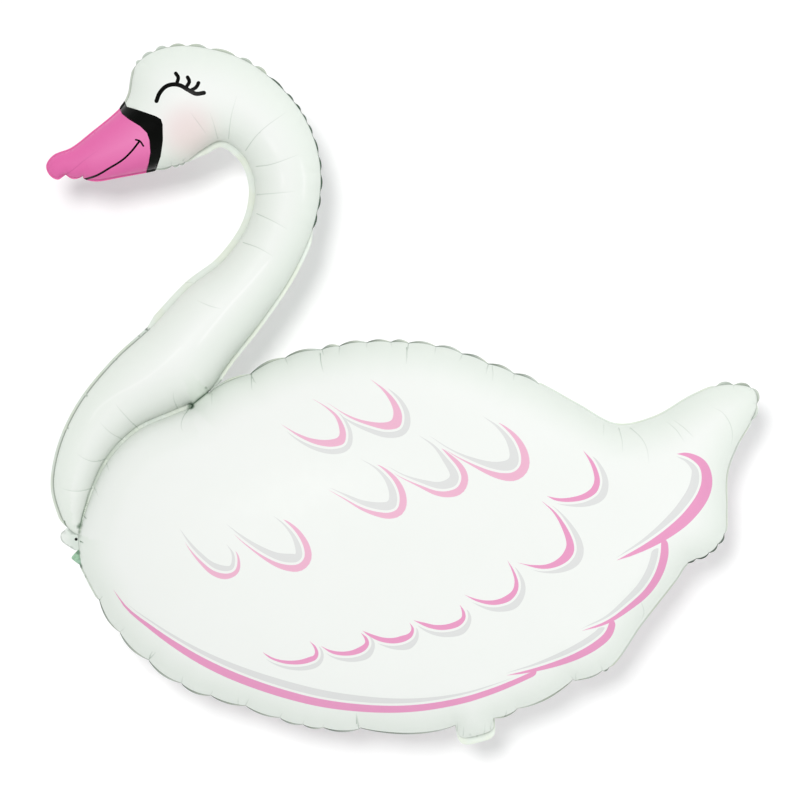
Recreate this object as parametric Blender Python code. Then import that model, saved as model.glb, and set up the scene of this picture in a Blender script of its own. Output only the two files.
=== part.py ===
"""Swan foil balloon, lying on its back sheet: one sealed envelope of welded foil with a gathered border.

Units are metres and +Z is up. The swan lies flat in the XY plane, its beak towards -X and its head towards +Y.
The origin is on the floor, under the middle of the balloon's bounding box.
"""

import math

import bmesh
import bpy
import numpy as np
from mathutils.geometry import delaunay_2d_cdt

# Driving dimensions
LENGTH = 0.900  # beak tip to tail tip, without the welded border
BODY_THICKNESS = 0.285  # front sheet to back sheet at the thickest place of the body
BORDER_TAUT = 0.0080  # welded border in the throat, where the bend pulls it flat
BORDER_GATHERED = 0.0050  # welded border at the middle of a gather
BORDER_NECK_FRONT = 0.0040
BORDER_NAPE = 0.0035
BORDER_BELLY = 0.0030
BORDER_NARROW = 0.0020  # welded border round the beak and where the sheets bulge over it
FOIL_THICKNESS = 0.0012  # both welded sheets, made thick enough for a solid
INNER_WELD = 0.0048  # flat weld line between the neck and the body it lies against
FILLING_TAIL_LENGTH = 0.024  # what shows of the filling tail below the belly
PLEAT_DEPTH = 0.0095  # the border's folded corner below the tab
TAB_CENTRE = (0.0356 * LENGTH, 0.2835 * LENGTH)
TAB_RADIUS = 0.0140  # flat tab where the neck meets the breast
RIBBON_HOLE = (0.0410 * LENGTH, 0.2850 * LENGTH)
RIBBON_HOLE_DIAMETER = 0.0040
REST_FLAT_DEPTH = 0.0060  # how much the belly flattens on what it lies on

# Shape of the filling tail's end: how square its sides and how round its corners are
FILLING_TAIL_SQUARENESS = 7
FILLING_TAIL_ROUNDNESS = 3

# Shape of one gather, between two puckers
GATHER_RISE = 0.07  # how far the seam swells outwards, as a share of the gather's length
GATHER_SHARPNESS = 0.75
GATHER_INSET = 0.5  # how much of that rise lies inside the drawn outline, at a pucker
PUCKER_WIDTH = 0.25  # the border's width at a pucker, as a share of its width at the middle

# Facet sizes
EDGE_STEP = 0.0115
GRID_STEP = 0.0235
ROW_DEPTHS = (0.0026, 0.0100)  # rows of points that follow the border inside the envelope
GATHER_STEPS = 4  # the fewest steps along one gather
CURVE_STEPS = 40  # steps of a smooth curve between two of its points
TAB_TURN_POINTS = 7
HOLE_SIDES = 12
CLOSEST = 1e-5  # points closer than this are one

# How far points stay apart, as shares of their row's depth and of the grid's step
ROW_TO_SEAM, ROW_TO_ROW = 0.7, 0.6
GRID_TO_SEAM, GRID_TO_ROW = 0.75, 0.5

# Kinds of outline
EDGE, TAB_SIDE, WELD, OPEN = "edge", "tab side", "weld", "open"

# Outline points are shares of LENGTH, from the beak tip's x and the filling tail's y.
CROTCH = (0.228, 0.493)
WELD_TOP = (0.2035, 0.4735)
WELD_FOOT = (0.045, 0.292)
WELD_LINE = [WELD_TOP, (0.173, 0.4615), (0.125, 0.439), (0.083, 0.395), (0.055, 0.330), WELD_FOOT]


class Stretch:
    """A length of outline that runs to the next stretch's first point. Puckers are shares of its length."""

    def __init__(self, name, points, border=0.0, puckers=(), kind=EDGE, rise=GATHER_RISE, least=1):
        self.name = name
        self.points = [np.array(p) * LENGTH for p in points]
        self.border = border
        self.puckers = puckers
        self.kind = kind
        self.rise = rise
        self.least = least

    def width(self, share, gather):
        """The border's width at a share of the stretch, which is also a share of one gather."""
        if self.name == "filling_tail":
            flatness = 1 - abs(2 * share - 1) ** FILLING_TAIL_SQUARENESS
            return FILLING_TAIL_LENGTH * flatness ** (1 / FILLING_TAIL_ROUNDNESS)
        if self.name == "pleat":
            return self.border + PLEAT_DEPTH * (1 - abs(2 * share - 1))
        if self.puckers:
            return self.border * (PUCKER_WIDTH + (1 - PUCKER_WIDTH) * math.sin(math.pi * gather))
        return self.border


def neck_and_head():
    """The outline of the neck, head and beak, clockwise as seen from the front, from the beak tip."""
    return [
        Stretch("beak_top", [(0.001, 0.810), (0.010, 0.823), (0.035, 0.8335), (0.063, 0.855)], BORDER_NARROW),
        Stretch("forehead", [(0.105, 0.891), (0.116, 0.909), (0.1205, 0.934)], BORDER_NARROW),
        Stretch("crown", [(0.1254, 0.951), (0.1486, 0.9695), (0.191, 0.9785), (0.2634, 0.9644)], BORDER_GATHERED,
                (0.05, 0.16, 0.26, 0.39, 0.54, 0.76, 0.88), rise=0.04),
        Stretch("nape", [(0.3104, 0.9365), (0.357, 0.8856), (0.3805, 0.829), (0.3842, 0.7767)],
                BORDER_NAPE, (0.14, 0.22, 0.29, 0.36, 0.44, 0.56, 0.66, 0.78, 0.89), rise=0.04),
        Stretch("neck_back", [(0.3725, 0.7197), (0.344, 0.656), (0.302, 0.593), (0.253, 0.530)], BORDER_GATHERED),
        Stretch("passage", [CROTCH], kind=OPEN, least=2),
        Stretch("weld", WELD_LINE[:-1], kind=WELD),
        Stretch("neck_foot", [WELD_FOOT], kind=TAB_SIDE, least=2),
        Stretch("neck_front", [(0.029, 0.302), (0.017, 0.327), (0.0095, 0.361), (0.0188, 0.4157), (0.0465, 0.4748),
                               (0.0959, 0.536)], BORDER_NECK_FRONT),
        Stretch("throat", [(0.146, 0.582), (0.201, 0.640), (0.247, 0.676), (0.284, 0.731), (0.292, 0.783),
                           (0.277, 0.823), (0.245, 0.845), (0.216, 0.831)], BORDER_TAUT),
        Stretch("chin", [(0.194, 0.815)], BORDER_NARROW, (0.20, 0.45)),
        Stretch("beak_low", [(0.153, 0.805), (0.103, 0.7955), (0.069, 0.7900)], BORDER_NARROW),
        Stretch("beak_gather", [(0.0495, 0.7935)], BORDER_NARROW, (1.0,), rise=0.20),
        Stretch("beak_tip", [(0.0240, 0.7975), (0.0150, 0.7925), (0.0050, 0.7985)], BORDER_NARROW),
    ]


def body_and_tail():
    """The outline of the body and tail, clockwise as seen from the front, from the crotch of neck and back."""
    return [
        Stretch("back", [CROTCH, (0.246, 0.501), (0.285, 0.518), (0.335, 0.541), (0.385, 0.552), (0.450, 0.562),
                         (0.550, 0.556), (0.626, 0.530)], BORDER_GATHERED,
                (0.13, 0.24, 0.35, 0.40, 0.48, 0.55, 0.60, 0.68, 0.76, 0.84, 0.92)),
        Stretch("rump_dip", [(0.693, 0.503), (0.746, 0.474), (0.801, 0.446), (0.855, 0.457), (0.9038, 0.485)],
                BORDER_NARROW),
        Stretch("tail_tip", [(0.9397, 0.500), (0.968, 0.502), (0.9925, 0.496), (0.998, 0.478)], BORDER_GATHERED,
                (0.25, 0.50, 0.75)),
        Stretch("tail_under", [(0.989, 0.4512), (0.969, 0.416), (0.9555, 0.378), (0.9545, 0.326)], BORDER_NARROW),
        Stretch("rump", [(0.952, 0.292), (0.929, 0.2645)], BORDER_NARROW, (0.25, 0.50, 0.80)),
        Stretch("flank", [(0.900, 0.2515), (0.884, 0.229), (0.835, 0.166)], BORDER_NARROW),
        Stretch("belly_end", [(0.790, 0.105), (0.744, 0.087), (0.663, 0.046)], BORDER_NARROW, (0.06, 0.30, 0.80)),
        Stretch("filling_tail", [(0.627, 0.033)], least=10),
        Stretch("belly", [(0.574, 0.020), (0.484, 0.017), (0.371, 0.022), (0.276, 0.051), (0.188, 0.082),
                          (0.103, 0.152)], BORDER_BELLY,
                (0.24, 0.33, 0.38, 0.44, 0.53, 0.62, 0.70, 0.80, 0.90), rise=0.10),
        Stretch("breast", [(0.072, 0.202), (0.056, 0.232)], BORDER_NARROW),
        Stretch("pleat", [(0.048, 0.250)], BORDER_NARROW, least=4),
        Stretch("tab_end", [(0.0455, 0.270)], BORDER_NARROW, kind=TAB_SIDE, least=2),
        Stretch("weld", WELD_LINE[:0:-1], kind=WELD),
        Stretch("passage", [WELD_TOP], kind=OPEN, least=2),
    ]


def spline_segment(p0, p1, p2, p3, steps):
    """Points of a centripetal Catmull-Rom curve from p1 to p2, without p2 itself."""
    knots = [0.0]
    for a, b in ((p0, p1), (p1, p2), (p2, p3)):
        knots.append(knots[-1] + np.linalg.norm(b - a) ** 0.5)
    k0, k1, k2, k3 = knots
    points = []
    for k in np.linspace(k1, k2, steps, endpoint=False):
        a1 = p0 * (k1 - k) / (k1 - k0) + p1 * (k - k0) / (k1 - k0)
        a2 = p1 * (k2 - k) / (k2 - k1) + p2 * (k - k1) / (k2 - k1)
        a3 = p2 * (k3 - k) / (k3 - k2) + p3 * (k - k2) / (k3 - k2)
        b1 = a1 * (k2 - k) / (k2 - k0) + a2 * (k - k0) / (k2 - k0)
        b2 = a2 * (k3 - k) / (k3 - k1) + a3 * (k - k1) / (k3 - k1)
        points.append(b1 * (k2 - k) / (k2 - k1) + b2 * (k - k1) / (k2 - k1))
    return points


def smooth_curve(before, points, after):
    """A curve through the points. The weld and the passage, which two outlines share, have no before or after."""
    before = 2 * points[0] - points[1] if before is None else before
    after = 2 * points[-1] - points[-2] if after is None else after
    control = [before, *points, after]
    curve = []
    for i in range(len(points) - 1):
        curve += spline_segment(*control[i:i + 4], CURVE_STEPS)
    return np.array(curve + [points[-1]])


def stations(stretch, length):
    """Where a stretch is sampled: shares of its length, and shares of the gather that each falls in."""
    ends = sorted({0.0, *stretch.puckers, 1.0})
    places = []
    for a, b in zip(ends, ends[1:]):
        least = GATHER_STEPS if stretch.puckers else stretch.least
        count = max(least, round((b - a) * length / EDGE_STEP))
        places += [(a + (b - a) * k / count, k / count, b - a) for k in range(count)]
    return places


class Lobe:
    """One part of the outline: its smooth line, the seam along it and the outer edge of the welded border."""

    def __init__(self, stretches):
        self.base, self.names, self.kinds, rises, widths = [], [], [], [], []
        for i, s in enumerate(stretches):
            before, after = stretches[i - 1], stretches[(i + 1) % len(stretches)]
            points = s.points + [after.points[0]]
            shared = s.kind in (WELD, OPEN)
            beyond = after.points[1] if len(after.points) > 1 else stretches[(i + 2) % len(stretches)].points[0]
            curve = smooth_curve(None if shared else before.points[-1], points, None if shared else beyond)
            run = np.concatenate([[0.0], np.cumsum(np.linalg.norm(np.diff(curve, axis=0), axis=1))])
            for share, gather, reach in stations(s, run[-1]):
                self.base.append([np.interp(share * run[-1], run, curve[:, k]) for k in (0, 1)])
                self.names.append(s.name)
                self.kinds.append(s.kind)
                swell = math.sin(math.pi * gather) ** GATHER_SHARPNESS - GATHER_INSET if s.puckers else 0.0
                rises.append(s.rise * reach * run[-1] * swell)
                widths.append(s.width(share, gather))
        self.base = np.array(self.base)
        along = np.roll(self.base, -1, axis=0) - np.roll(self.base, 1, axis=0)
        along /= np.linalg.norm(along, axis=1)[:, None]
        self.outward = np.stack([-along[:, 1], along[:, 0]], axis=1)  # the outline runs clockwise
        inset = [-INNER_WELD / 2 if self.is_inside(i, WELD) else 0.0 for i in range(len(self.base))]
        self.seam = self.base + self.outward * (np.array(rises) + np.array(inset))[:, None]
        if self.names[0] == "back":
            widths[0] = 0.0  # the border starts from nothing in the crotch
        self.edge = self.seam + self.outward * np.array(widths)[:, None]

    def is_inside(self, i, kind):
        """Whether point i lies within a stretch of this kind, and not at its ends."""
        return self.kinds[i] == kind and self.kinds[i - 1] == kind

    def first(self, name):
        return self.names.index(name)

    def run(self, start, stop):
        """Indices from one point to another, both included."""
        count = (stop - start) % len(self.base) or len(self.base)
        return [(start + k) % len(self.base) for k in range(count + 1)]


def border_polygon(lobe, start, stop):
    """The welded border along a lobe, from one of its points to another."""
    run = lobe.run(start, stop)
    outer = [lobe.edge[i] for i in run if np.linalg.norm(lobe.edge[i] - lobe.seam[i]) > CLOSEST]
    return [lobe.seam[i] for i in run] + outer[::-1]


def weld_polygon(neck, body):
    """The inner weld, from its top down the neck's side and back up the body's."""
    down = neck.run(neck.first("weld"), neck.first("neck_foot"))
    up = body.run(body.first("weld"), body.first("passage"))
    return [neck.seam[i] for i in down] + [body.seam[i] for i in up[1:-1]]


def tab_polygon(neck, body):
    """The flat tab between the neck's foot and the breast."""
    above = neck.run(neck.first("neck_foot"), neck.first("neck_front"))
    below = body.run(body.first("tab_end"), body.first("weld"))
    start, end = neck.edge[above[-1]], body.edge[below[0]]
    centre = np.array(TAB_CENTRE)
    angles = [math.atan2(*(p - centre)[::-1]) % math.tau for p in (start, end)]
    turn_angles = np.linspace(*angles, TAB_TURN_POINTS + 2)[1:-1]
    turn = [centre + TAB_RADIUS * np.array([math.cos(a), math.sin(a)]) for a in turn_angles]
    return [start, *turn, end] + [body.seam[i] for i in below] + [neck.seam[i] for i in above[1:]]


def hole_polygon():
    """The punched hole that a ribbon ties through."""
    turn = np.linspace(0, math.tau, HOLE_SIDES, endpoint=False)
    return [np.array(RIBBON_HOLE) + RIBBON_HOLE_DIAMETER / 2 * np.array([math.cos(a), math.sin(a)]) for a in turn]


def inner_row(lobe, depth):
    """Points that follow a lobe's seam inside it, opposite the middles of its steps."""
    middle = (lobe.seam + np.roll(lobe.seam, -1, axis=0)) / 2
    outward = lobe.outward + np.roll(lobe.outward, -1, axis=0)
    outward /= np.linalg.norm(outward, axis=1)[:, None]
    points = middle - outward * depth
    return points if depth == ROW_DEPTHS[0] else points[::2]


def inside(points, polygon):
    """Which points lie inside a polygon, by counting the edges to their right."""
    x, y = points[:, 0], points[:, 1]
    odd = np.zeros(len(points), bool)
    for (ax, ay), (bx, by) in zip(polygon, np.roll(polygon, -1, axis=0)):
        if ay == by:
            continue
        crosses = (ay > y) != (by > y)
        odd ^= crosses & (x < (bx - ax) * (y - ay) / (by - ay) + ax)
    return odd


def turns_left(polygon):
    """Whether a polygon runs anticlockwise."""
    x, y = np.array(polygon).T
    return (x * np.roll(y, -1) - y * np.roll(x, -1)).sum() > 0


def clearance(points, others):
    """Distance from each point to the nearest of the others."""
    return np.min(np.linalg.norm(points[:, None, :] - others[None, :, :], axis=2), axis=1)


def triangular_grid(low, high):
    """A grid of equal triangles over a rectangle."""
    points = []
    for j, y in enumerate(np.arange(low[1], high[1], GRID_STEP * math.sqrt(3) / 2)):
        points += [(x, y) for x in np.arange(low[0] + (j % 2) * GRID_STEP / 2, high[0], GRID_STEP)]
    return np.array(points)


def fill_points(lobes):
    """Points inside the envelope: rows along the seams, then a triangular grid."""
    seams = np.concatenate([lobe.seam for lobe in lobes])
    found = np.empty((0, 2))
    for depth in ROW_DEPTHS:
        for lobe in lobes:
            row = inner_row(lobe, depth)
            row = row[inside(row, lobe.seam) & (clearance(row, seams) > ROW_TO_SEAM * depth)]
            if len(found):
                row = row[clearance(row, found) > ROW_TO_ROW * depth]
            found = np.concatenate([found, row])
    grid = triangular_grid(seams.min(0), seams.max(0))
    grid = grid[np.any([inside(grid, lobe.seam) for lobe in lobes], axis=0)]
    grid = grid[clearance(grid, seams) > GRID_TO_SEAM * GRID_STEP]
    grid = grid[clearance(grid, found) > GRID_TO_ROW * GRID_STEP]
    return np.concatenate([found, grid])


def triangulate(neck, body):
    """The balloon's plan as points and triangles, and which triangles hold gas between two sheets."""
    flat = [
        border_polygon(neck, neck.first("neck_front"), neck.first("passage")),
        border_polygon(body, body.first("back"), body.first("tab_end")),
        weld_polygon(neck, body),
        tab_polygon(neck, body),
    ]
    polygons = [neck.seam, body.seam, *flat, hole_polygon()]
    points = [tuple(p) for p in fill_points([neck, body])]
    faces = []
    for polygon in polygons:
        faces.append(list(range(len(points), len(points) + len(polygon))))
        points += [tuple(p) for p in (polygon if turns_left(polygon) else polygon[::-1])]
    result = delaunay_2d_cdt(points, [], faces, 1, CLOSEST)
    kept = [(f, owners) for f, owners in zip(result[2], result[5]) if len(polygons) - 1 not in owners]
    filled = [0 in owners or 1 in owners for _, owners in kept]
    return np.array([tuple(p) for p in result[0]]), np.array([f for f, _ in kept]), np.array(filled)


def rim_edges(triangles):
    """Directed edges that only one of the triangles uses."""
    edges = {(int(t[k]), int(t[(k + 1) % 3])) for t in triangles for k in range(3)}
    return [(a, b) for a, b in edges if (b, a) not in edges]


def inflate(plan, filled):
    """How far the sheets stand off the seam plane at each point of the plan.

    The membrane equation is solved on the filled triangles, held to the seam plane at their rim. Its root gives a
    round tube across the neck, and the last step limits the body to its real thickness.
    """
    count = len(plan)
    stiffness = np.zeros((count, count))
    load = np.zeros(count)
    corner = plan[filled]
    side = np.roll(corner, -1, axis=1) - np.roll(corner, -2, axis=1)
    area = 0.5 * np.abs(side[:, 0, 0] * side[:, 1, 1] - side[:, 0, 1] * side[:, 1, 0])
    for a in range(3):
        np.add.at(load, filled[:, a], area / 3)
        for b in range(3):
            dot = (side[:, a] * side[:, b]).sum(1)
            np.add.at(stiffness, (filled[:, a], filled[:, b]), dot / (4 * area))
    free = np.zeros(count, bool)
    free[np.unique(filled)] = True
    free[np.unique(rim_edges(filled))] = False
    value = np.zeros(count)
    value[free] = np.linalg.solve(stiffness[np.ix_(free, free)], load[free])
    height = np.sqrt(2 * np.maximum(value, 0.0))
    tallest = BODY_THICKNESS / 2 - FOIL_THICKNESS / 2
    limit = 1 / tallest**2 - 1 / height.max() ** 2
    height[free] = 1 / np.sqrt(1 / height[free] ** 2 + limit)
    return height


def envelope_mesh(plan, triangles, height):
    """Front sheet, back sheet and the rim between them as one closed mesh, resting on z = 0."""
    seam_plane = BODY_THICKNESS / 2 - REST_FLAT_DEPTH
    used = np.unique(triangles)
    middle = (plan[used].min(0) + plan[used].max(0)) / 2
    mesh = bmesh.new()
    front, back = {}, {}
    for i in used:
        x, y = plan[i] - middle
        front[i] = mesh.verts.new((x, y, seam_plane + FOIL_THICKNESS / 2 + height[i]))
        back[i] = mesh.verts.new((x, y, max(0.0, seam_plane - FOIL_THICKNESS / 2 - height[i])))
    for a, b, c in triangles:
        mesh.faces.new((front[a], front[b], front[c]))
        mesh.faces.new((back[c], back[b], back[a]))
    for a, b in rim_edges(triangles):
        mesh.faces.new((front[b], front[a], back[a], back[b]))
    return mesh


def pearl_foil():
    """White print on foil, with a satin sheen."""
    material = bpy.data.materials.new("pearl_foil")
    material.use_nodes = True
    shader = material.node_tree.nodes["Principled BSDF"]
    shader.inputs["Base Color"].default_value = (0.84, 0.88, 0.83, 1.0)
    shader.inputs["Roughness"].default_value = 0.32
    return material


def foil_envelope():
    """The whole balloon, which is one welded envelope."""
    neck, body = Lobe(neck_and_head()), Lobe(body_and_tail())
    plan, triangles, is_filled = triangulate(neck, body)
    height = inflate(plan, triangles[is_filled])
    mesh = envelope_mesh(plan, triangles, height)
    data = bpy.data.meshes.new("foil_envelope")
    mesh.to_mesh(data)
    mesh.free()
    balloon = bpy.data.objects.new("foil_envelope", data)
    bpy.context.scene.collection.objects.link(balloon)
    data.materials.append(pearl_foil())
    return balloon


def main():
    for obj in list(bpy.data.objects):
        bpy.data.objects.remove(obj)
    foil_envelope()


if __name__ == "__main__":
    main()
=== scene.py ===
"""The looks of a swan foil balloon that lies on its back sheet, seen from straight above.

The balloon is one welded envelope. Its outline is rebuilt here with fine gathers, a thin wavy border,
creases and the printed face and feathers, and the sheets are inflated by solving the membrane equation.
"""

import math
import random
from dataclasses import dataclass

import bpy
import numpy as np
from mathutils.geometry import delaunay_2d_cdt
from mathutils.kdtree import KDTree
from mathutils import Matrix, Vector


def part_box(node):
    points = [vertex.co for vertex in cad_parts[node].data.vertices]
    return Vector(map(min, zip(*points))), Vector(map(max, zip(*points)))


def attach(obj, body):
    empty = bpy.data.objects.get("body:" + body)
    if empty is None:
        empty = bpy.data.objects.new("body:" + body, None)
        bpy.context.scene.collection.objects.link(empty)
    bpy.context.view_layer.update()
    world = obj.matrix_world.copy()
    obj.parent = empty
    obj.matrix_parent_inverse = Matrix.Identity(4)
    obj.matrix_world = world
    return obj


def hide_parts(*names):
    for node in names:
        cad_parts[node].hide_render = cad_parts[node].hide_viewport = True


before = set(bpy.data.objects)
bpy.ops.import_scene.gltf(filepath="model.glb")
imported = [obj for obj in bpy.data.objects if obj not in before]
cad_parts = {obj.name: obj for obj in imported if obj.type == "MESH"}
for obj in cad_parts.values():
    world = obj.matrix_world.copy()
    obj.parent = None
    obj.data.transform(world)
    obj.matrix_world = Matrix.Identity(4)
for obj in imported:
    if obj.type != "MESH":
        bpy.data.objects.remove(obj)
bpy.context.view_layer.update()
LOW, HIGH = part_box("foil_envelope")

# Sizes taken from the frame
WIDTH_WITH_BORDER = 1.00433  # the outline's width, as a share of beak tip to tail tip
LENGTH = (HIGH[0] - LOW[0]) / WIDTH_WITH_BORDER
REST_FLAT_DEPTH = 0.0060
BODY_THICKNESS = HIGH[2] + REST_FLAT_DEPTH
SEAM_PLANE = BODY_THICKNESS / 2 - REST_FLAT_DEPTH

# Sizes of the welded border and of what hangs on it
BORDER_TAUT = 0.0080
BORDER_GATHERED = 0.0050
BORDER_CROWN = 0.0036
BORDER_NAPE = 0.0020
BORDER_BACK = 0.0030
BORDER_TAIL_TIP = 0.0036
BORDER_FOREHEAD = 0.0028
BORDER_NARROW = 0.0020
BORDER_BELLY = 0.0021
BORDER_NECK_FRONT = 0.0040
BORDER_LEAST = 0.0004
BORDER_TAPER = 0.0005  # how fast a taut border may widen, from one point of the outline to the next
FOIL_THICKNESS = 0.00030
POCKET_DEPTH = FOIL_THICKNESS * 0.8
INNER_WELD = 0.0048
WELD_FOOT_PINCH = 0.80  # how much narrower the weld gets towards its foot
WELD_FOOT_REACH = 0.060
TAB_EDGE, TAB_EDGE_SHADE = 0.0030, 1.3  # how wide and how strong the painted shade along the tab's edge is
EDGE_SHADES = (0.2, 1.6)  # how strong the painted shade along a border's cut edge is: at least, and how much more by the border's painted shade
FILLING_TAIL_LENGTH = 0.024
FILLING_TAIL_FILLED = 0.015  # how far the gas reaches into it
TAIL_POWERS = (5, 0.4)
PLEAT_DEPTH = 0.0095
RIBBON_HOLE = (0.0410 * LENGTH, 0.2850 * LENGTH)
RIBBON_HOLE_DIAMETER = 0.0040
HOLE_SIDES = 24

# Shape of one gather, between two puckers
GATHER_RISE = 0.07
GATHER_SHARPNESS = 0.75
PUCKER_WIDTH = 0.25
SCALLOP_POWER = 0.6
FULLNESSES, TURNS = (0.85, 1.15), (0.5, 1.2)  # how much gathers vary in width and in how far they turn
SHADES = (0.75, 0.5)  # the least painted shade on a gather's border, and how much more the furthest turned one has
WAVE_HEIGHT, WAVE_REACH = 0.0016, 0.012
SWELLING = 0.10  # how far the foil swells behind a gather, as a share of its width
SWELLING_LEVEL = 0.6  # above this part of a gather's arc the foil swells, below it it sinks
SWELLING_SHARE, SWELLING_REACHES = 0.35, (0.003, 0.008)  # how far in, as a share of its width, within limits
SWELLING_FOOT = 0.006
LOOSE_HEIGHT = 0.012  # where the sheets stand this far apart, swellings and creases are at their deepest
CURL_POWER = 1.5
NARROWEST = 1e-4

# Facet sizes
EDGE_STEP = 0.0020
FRONT_GRID = 0.0034
BACK_GRID = 0.0072
ROW_DEPTHS = (0.0004, 0.0013, 0.0028, 0.0052)
LINE_STEP = 0.0026
CLOSEST = 1e-5
LEAST_GAP = 0.0006
LEAST_SPLIT = 0.0015  # a border wider than this gets a row of points along its middle
FACE_STEP = 0.0018
SHARP_ANGLE = 50  # edges that turn by more degrees than this look sharp
LEAST_IN_GATHER = 8
ROW_CLEARANCE, GRID_CLEARANCE, MARK_CLEARANCE = 0.8, 0.62, 0.42  # as shares of a row's depth or a grid's step

# Limits that keep the solver of the sheets' heights away from nothing, and when it has come close enough
LEAST_AREA, LEAST_SCALE, LEAST_HEIGHT = 1e-12, 1e-9, 1e-7
CLOSE_ENOUGH, MOST_ROUNDS = 1e-12, 4000

# The photograph's frame: its pixels are 1/800 of its width
PIXEL = LENGTH / 711.4
BEAK_TIP_X, FILLING_TAIL_Y = 47.0, 742.0
FRAME_CENTRE = 400.0
FRAME_PIXELS = 800
LENS = 400.0
SENSOR = 36.0
FARTHEST = 100.0
CAMERA_DISTANCE = FRAME_PIXELS * PIXEL * LENS / SENSOR

# Brightness of the surround, straight above, at the horizon and from side to side
ZENITH, HORIZON = 0.33, 1.14
BRIGHT_SIDE = (0.97, -0.25, 0.0)
DIM, BRIGHT = 0.63, 1.34
UP = (0.0, 0.0, 1.0)
SKY = (0.985, 0.99, 1.0, 1)
KEY_POWER, KEY_ANGLE = 1.52, 13
KEY_COLOUR = (1.0, 0.995, 0.985)
KEY_TURN = (-10.0, -8.2, 0.0)
FLOOR_SIZE, FLOOR_GAP, FLOOR_GLOW = 30.0, 0.0005, 0.12
FLOOR_COLOUR = (0.90, 0.90, 0.905, 1)

# How the foil looks
COAT, COAT_ROUGHNESS = 0.012, 0.18
PRINT_GLOSS, BORDER_GLOSS = 0.06, 0.3
# Colours of painted shade: in folds, creases and along the seams, and the deepest, which also darkens the
# border
FOLD_SHADE, DEEP_SHADE = (0.16, 0.25, 0.17), (0.04, 0.08, 0.05)
# the printed blush's colour and the painted highlight's colour
BLUSH, HIGHLIGHT_COLOUR = (0.84, 0.60, 0.61), (0.985, 0.995, 0.98)
# how much of the blush, the painted highlight and the seam's painted shade is mixed in at most
BLUSH_MOST, HIGHLIGHT_MOST, SEAM_SHADE_MOST = 0.50, 0.70, 0.95
SEAM_SHADE_REACH = 0.055  # how far the painted shade at the seams reaches in

# How strongly painted shade darkens creases: at most, and from which to which strength of a crease
FOLD_SPAN, DEEP_SPAN, BORDER_SPAN = (0.92, 0.0, 1.2), (0.85, 1.1, 1.8), (0.90, 0.0, 1.2)

# Fine textures: waves in a metre, detail and distortion
MOTTLE, RIPPLE, GRAIN = (14, 4, 0.6), (38, 3, 0.4), (700, 2)
PATCHES, CRINKLE, BORDER_GRAIN = (30, 2), (260, 3, 0.8), (1200, 1)

# How high above the seam plane the printed places lie
FEATHER_LIFT = 0.110
FACE_LIFT = 0.050

EDGE, TAB_SIDE, WELD, OPEN = "edge", "tab side", "weld", "open"
FAINT = 0.3
QUIET_SHADE = 0.1  # the back's border has little painted shade before its first pucker
NONE = 1e-6
NECK_SEED, BODY_SEED, CREASE_SEED = 3, 11, 5

CROTCH = (0.228, 0.493)
WELD_TOP = (0.2035, 0.4735)
WELD_FOOT = (0.045, 0.292)
WELD_LINE = [WELD_TOP, (0.173, 0.4615), (0.125, 0.439), (0.083, 0.395), (0.055, 0.330), WELD_FOOT]

# Finishes, and the parts of the plan whose outlines own its triangles; prints follow after the hole
WHITE, PINK, PALE_PINK, GREY, BEAK, BLACK, BORDER, STRIP, PLEAT, TAB = range(10)
NECK_GAS, BODY_GAS, WELD_STRIP, TAB_PART, PLEAT_PART, HOLE = 0, 1, 4, 5, 6, 7
FLAT_KINDS = ((PLEAT_PART, PLEAT), (TAB_PART, TAB), (WELD_STRIP, STRIP))
LOOKS = ("swell", "reach", "shade", "line", "curl", "wave", "widths", "welded")


@dataclass
class Stretch:
    """A length of outline that runs to the next stretch's first point. Puckers are shares of its length.

    shade is how much painted shade darkens the border, lead how much more at the start of each gather, line
    how much painted shade darkens the seam from start to end, curl how far the border turns up or down, gap
    the share of a pucker without border, and strengths how deep a crease runs in from each pucker.
    """

    name: str
    points: list
    border: float = 0.0
    puckers: tuple = ()
    kind: str = EDGE
    rise: float = GATHER_RISE
    least: int = 1
    shade: float = 0.2
    lead: float = 0.0
    line: tuple = (0.3, 0.3)
    curl: float = 0.0
    gap: float = 0.0
    strengths: tuple = ()

    def __post_init__(self):
        self.points = [np.array(p) * LENGTH for p in self.points]
        self.line = self.line if isinstance(self.line, tuple) else (self.line, self.line)
        self.strengths = self.strengths or (FAINT,) * len(self.puckers)

    def width(self, share, gather):
        """The border's width at a share of the stretch, which is also a share of one gather."""
        if self.name == "filling_tail":
            return (FILLING_TAIL_LENGTH - FILLING_TAIL_FILLED) * tail_shape(share)
        if self.name == "pleat":
            return self.border + PLEAT_DEPTH * (1 - abs(2 * share - 1))
        arc = math.sin(math.pi * gather)
        if self.gap:
            part = max(0.0, arc - self.gap) / (1 - self.gap)
            return max(BORDER_LEAST, self.border * part**SCALLOP_POWER)
        return self.border * (PUCKER_WIDTH + (1 - PUCKER_WIDTH) * arc if self.puckers else 1)

    def lift(self, share, gather, reach):
        """How far the seam stands out from the smooth outline."""
        if self.name == "filling_tail":
            return FILLING_TAIL_FILLED * tail_shape(share)
        arc = math.sin(math.pi * gather) ** GATHER_SHARPNESS
        return self.rise * reach * (arc - 0.5) if self.puckers else 0.0

    def darkness(self, share, gather, turn):
        """How much painted shade darkens the border."""
        quiet = self.name == "back" and share < self.puckers[0]
        turned = SHADES[0] + SHADES[1] * turn / TURNS[1] if self.puckers else 1
        varied = QUIET_SHADE if quiet else self.shade * turned
        return min(1.0, varied * (1 + self.lead * (1 - 2 * gather)))


def tail_shape(share):
    """The filling tail's blunt end: how far it reaches, across its width."""
    return (1 - abs(2 * share - 1) ** TAIL_POWERS[0]) ** TAIL_POWERS[1]


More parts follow.
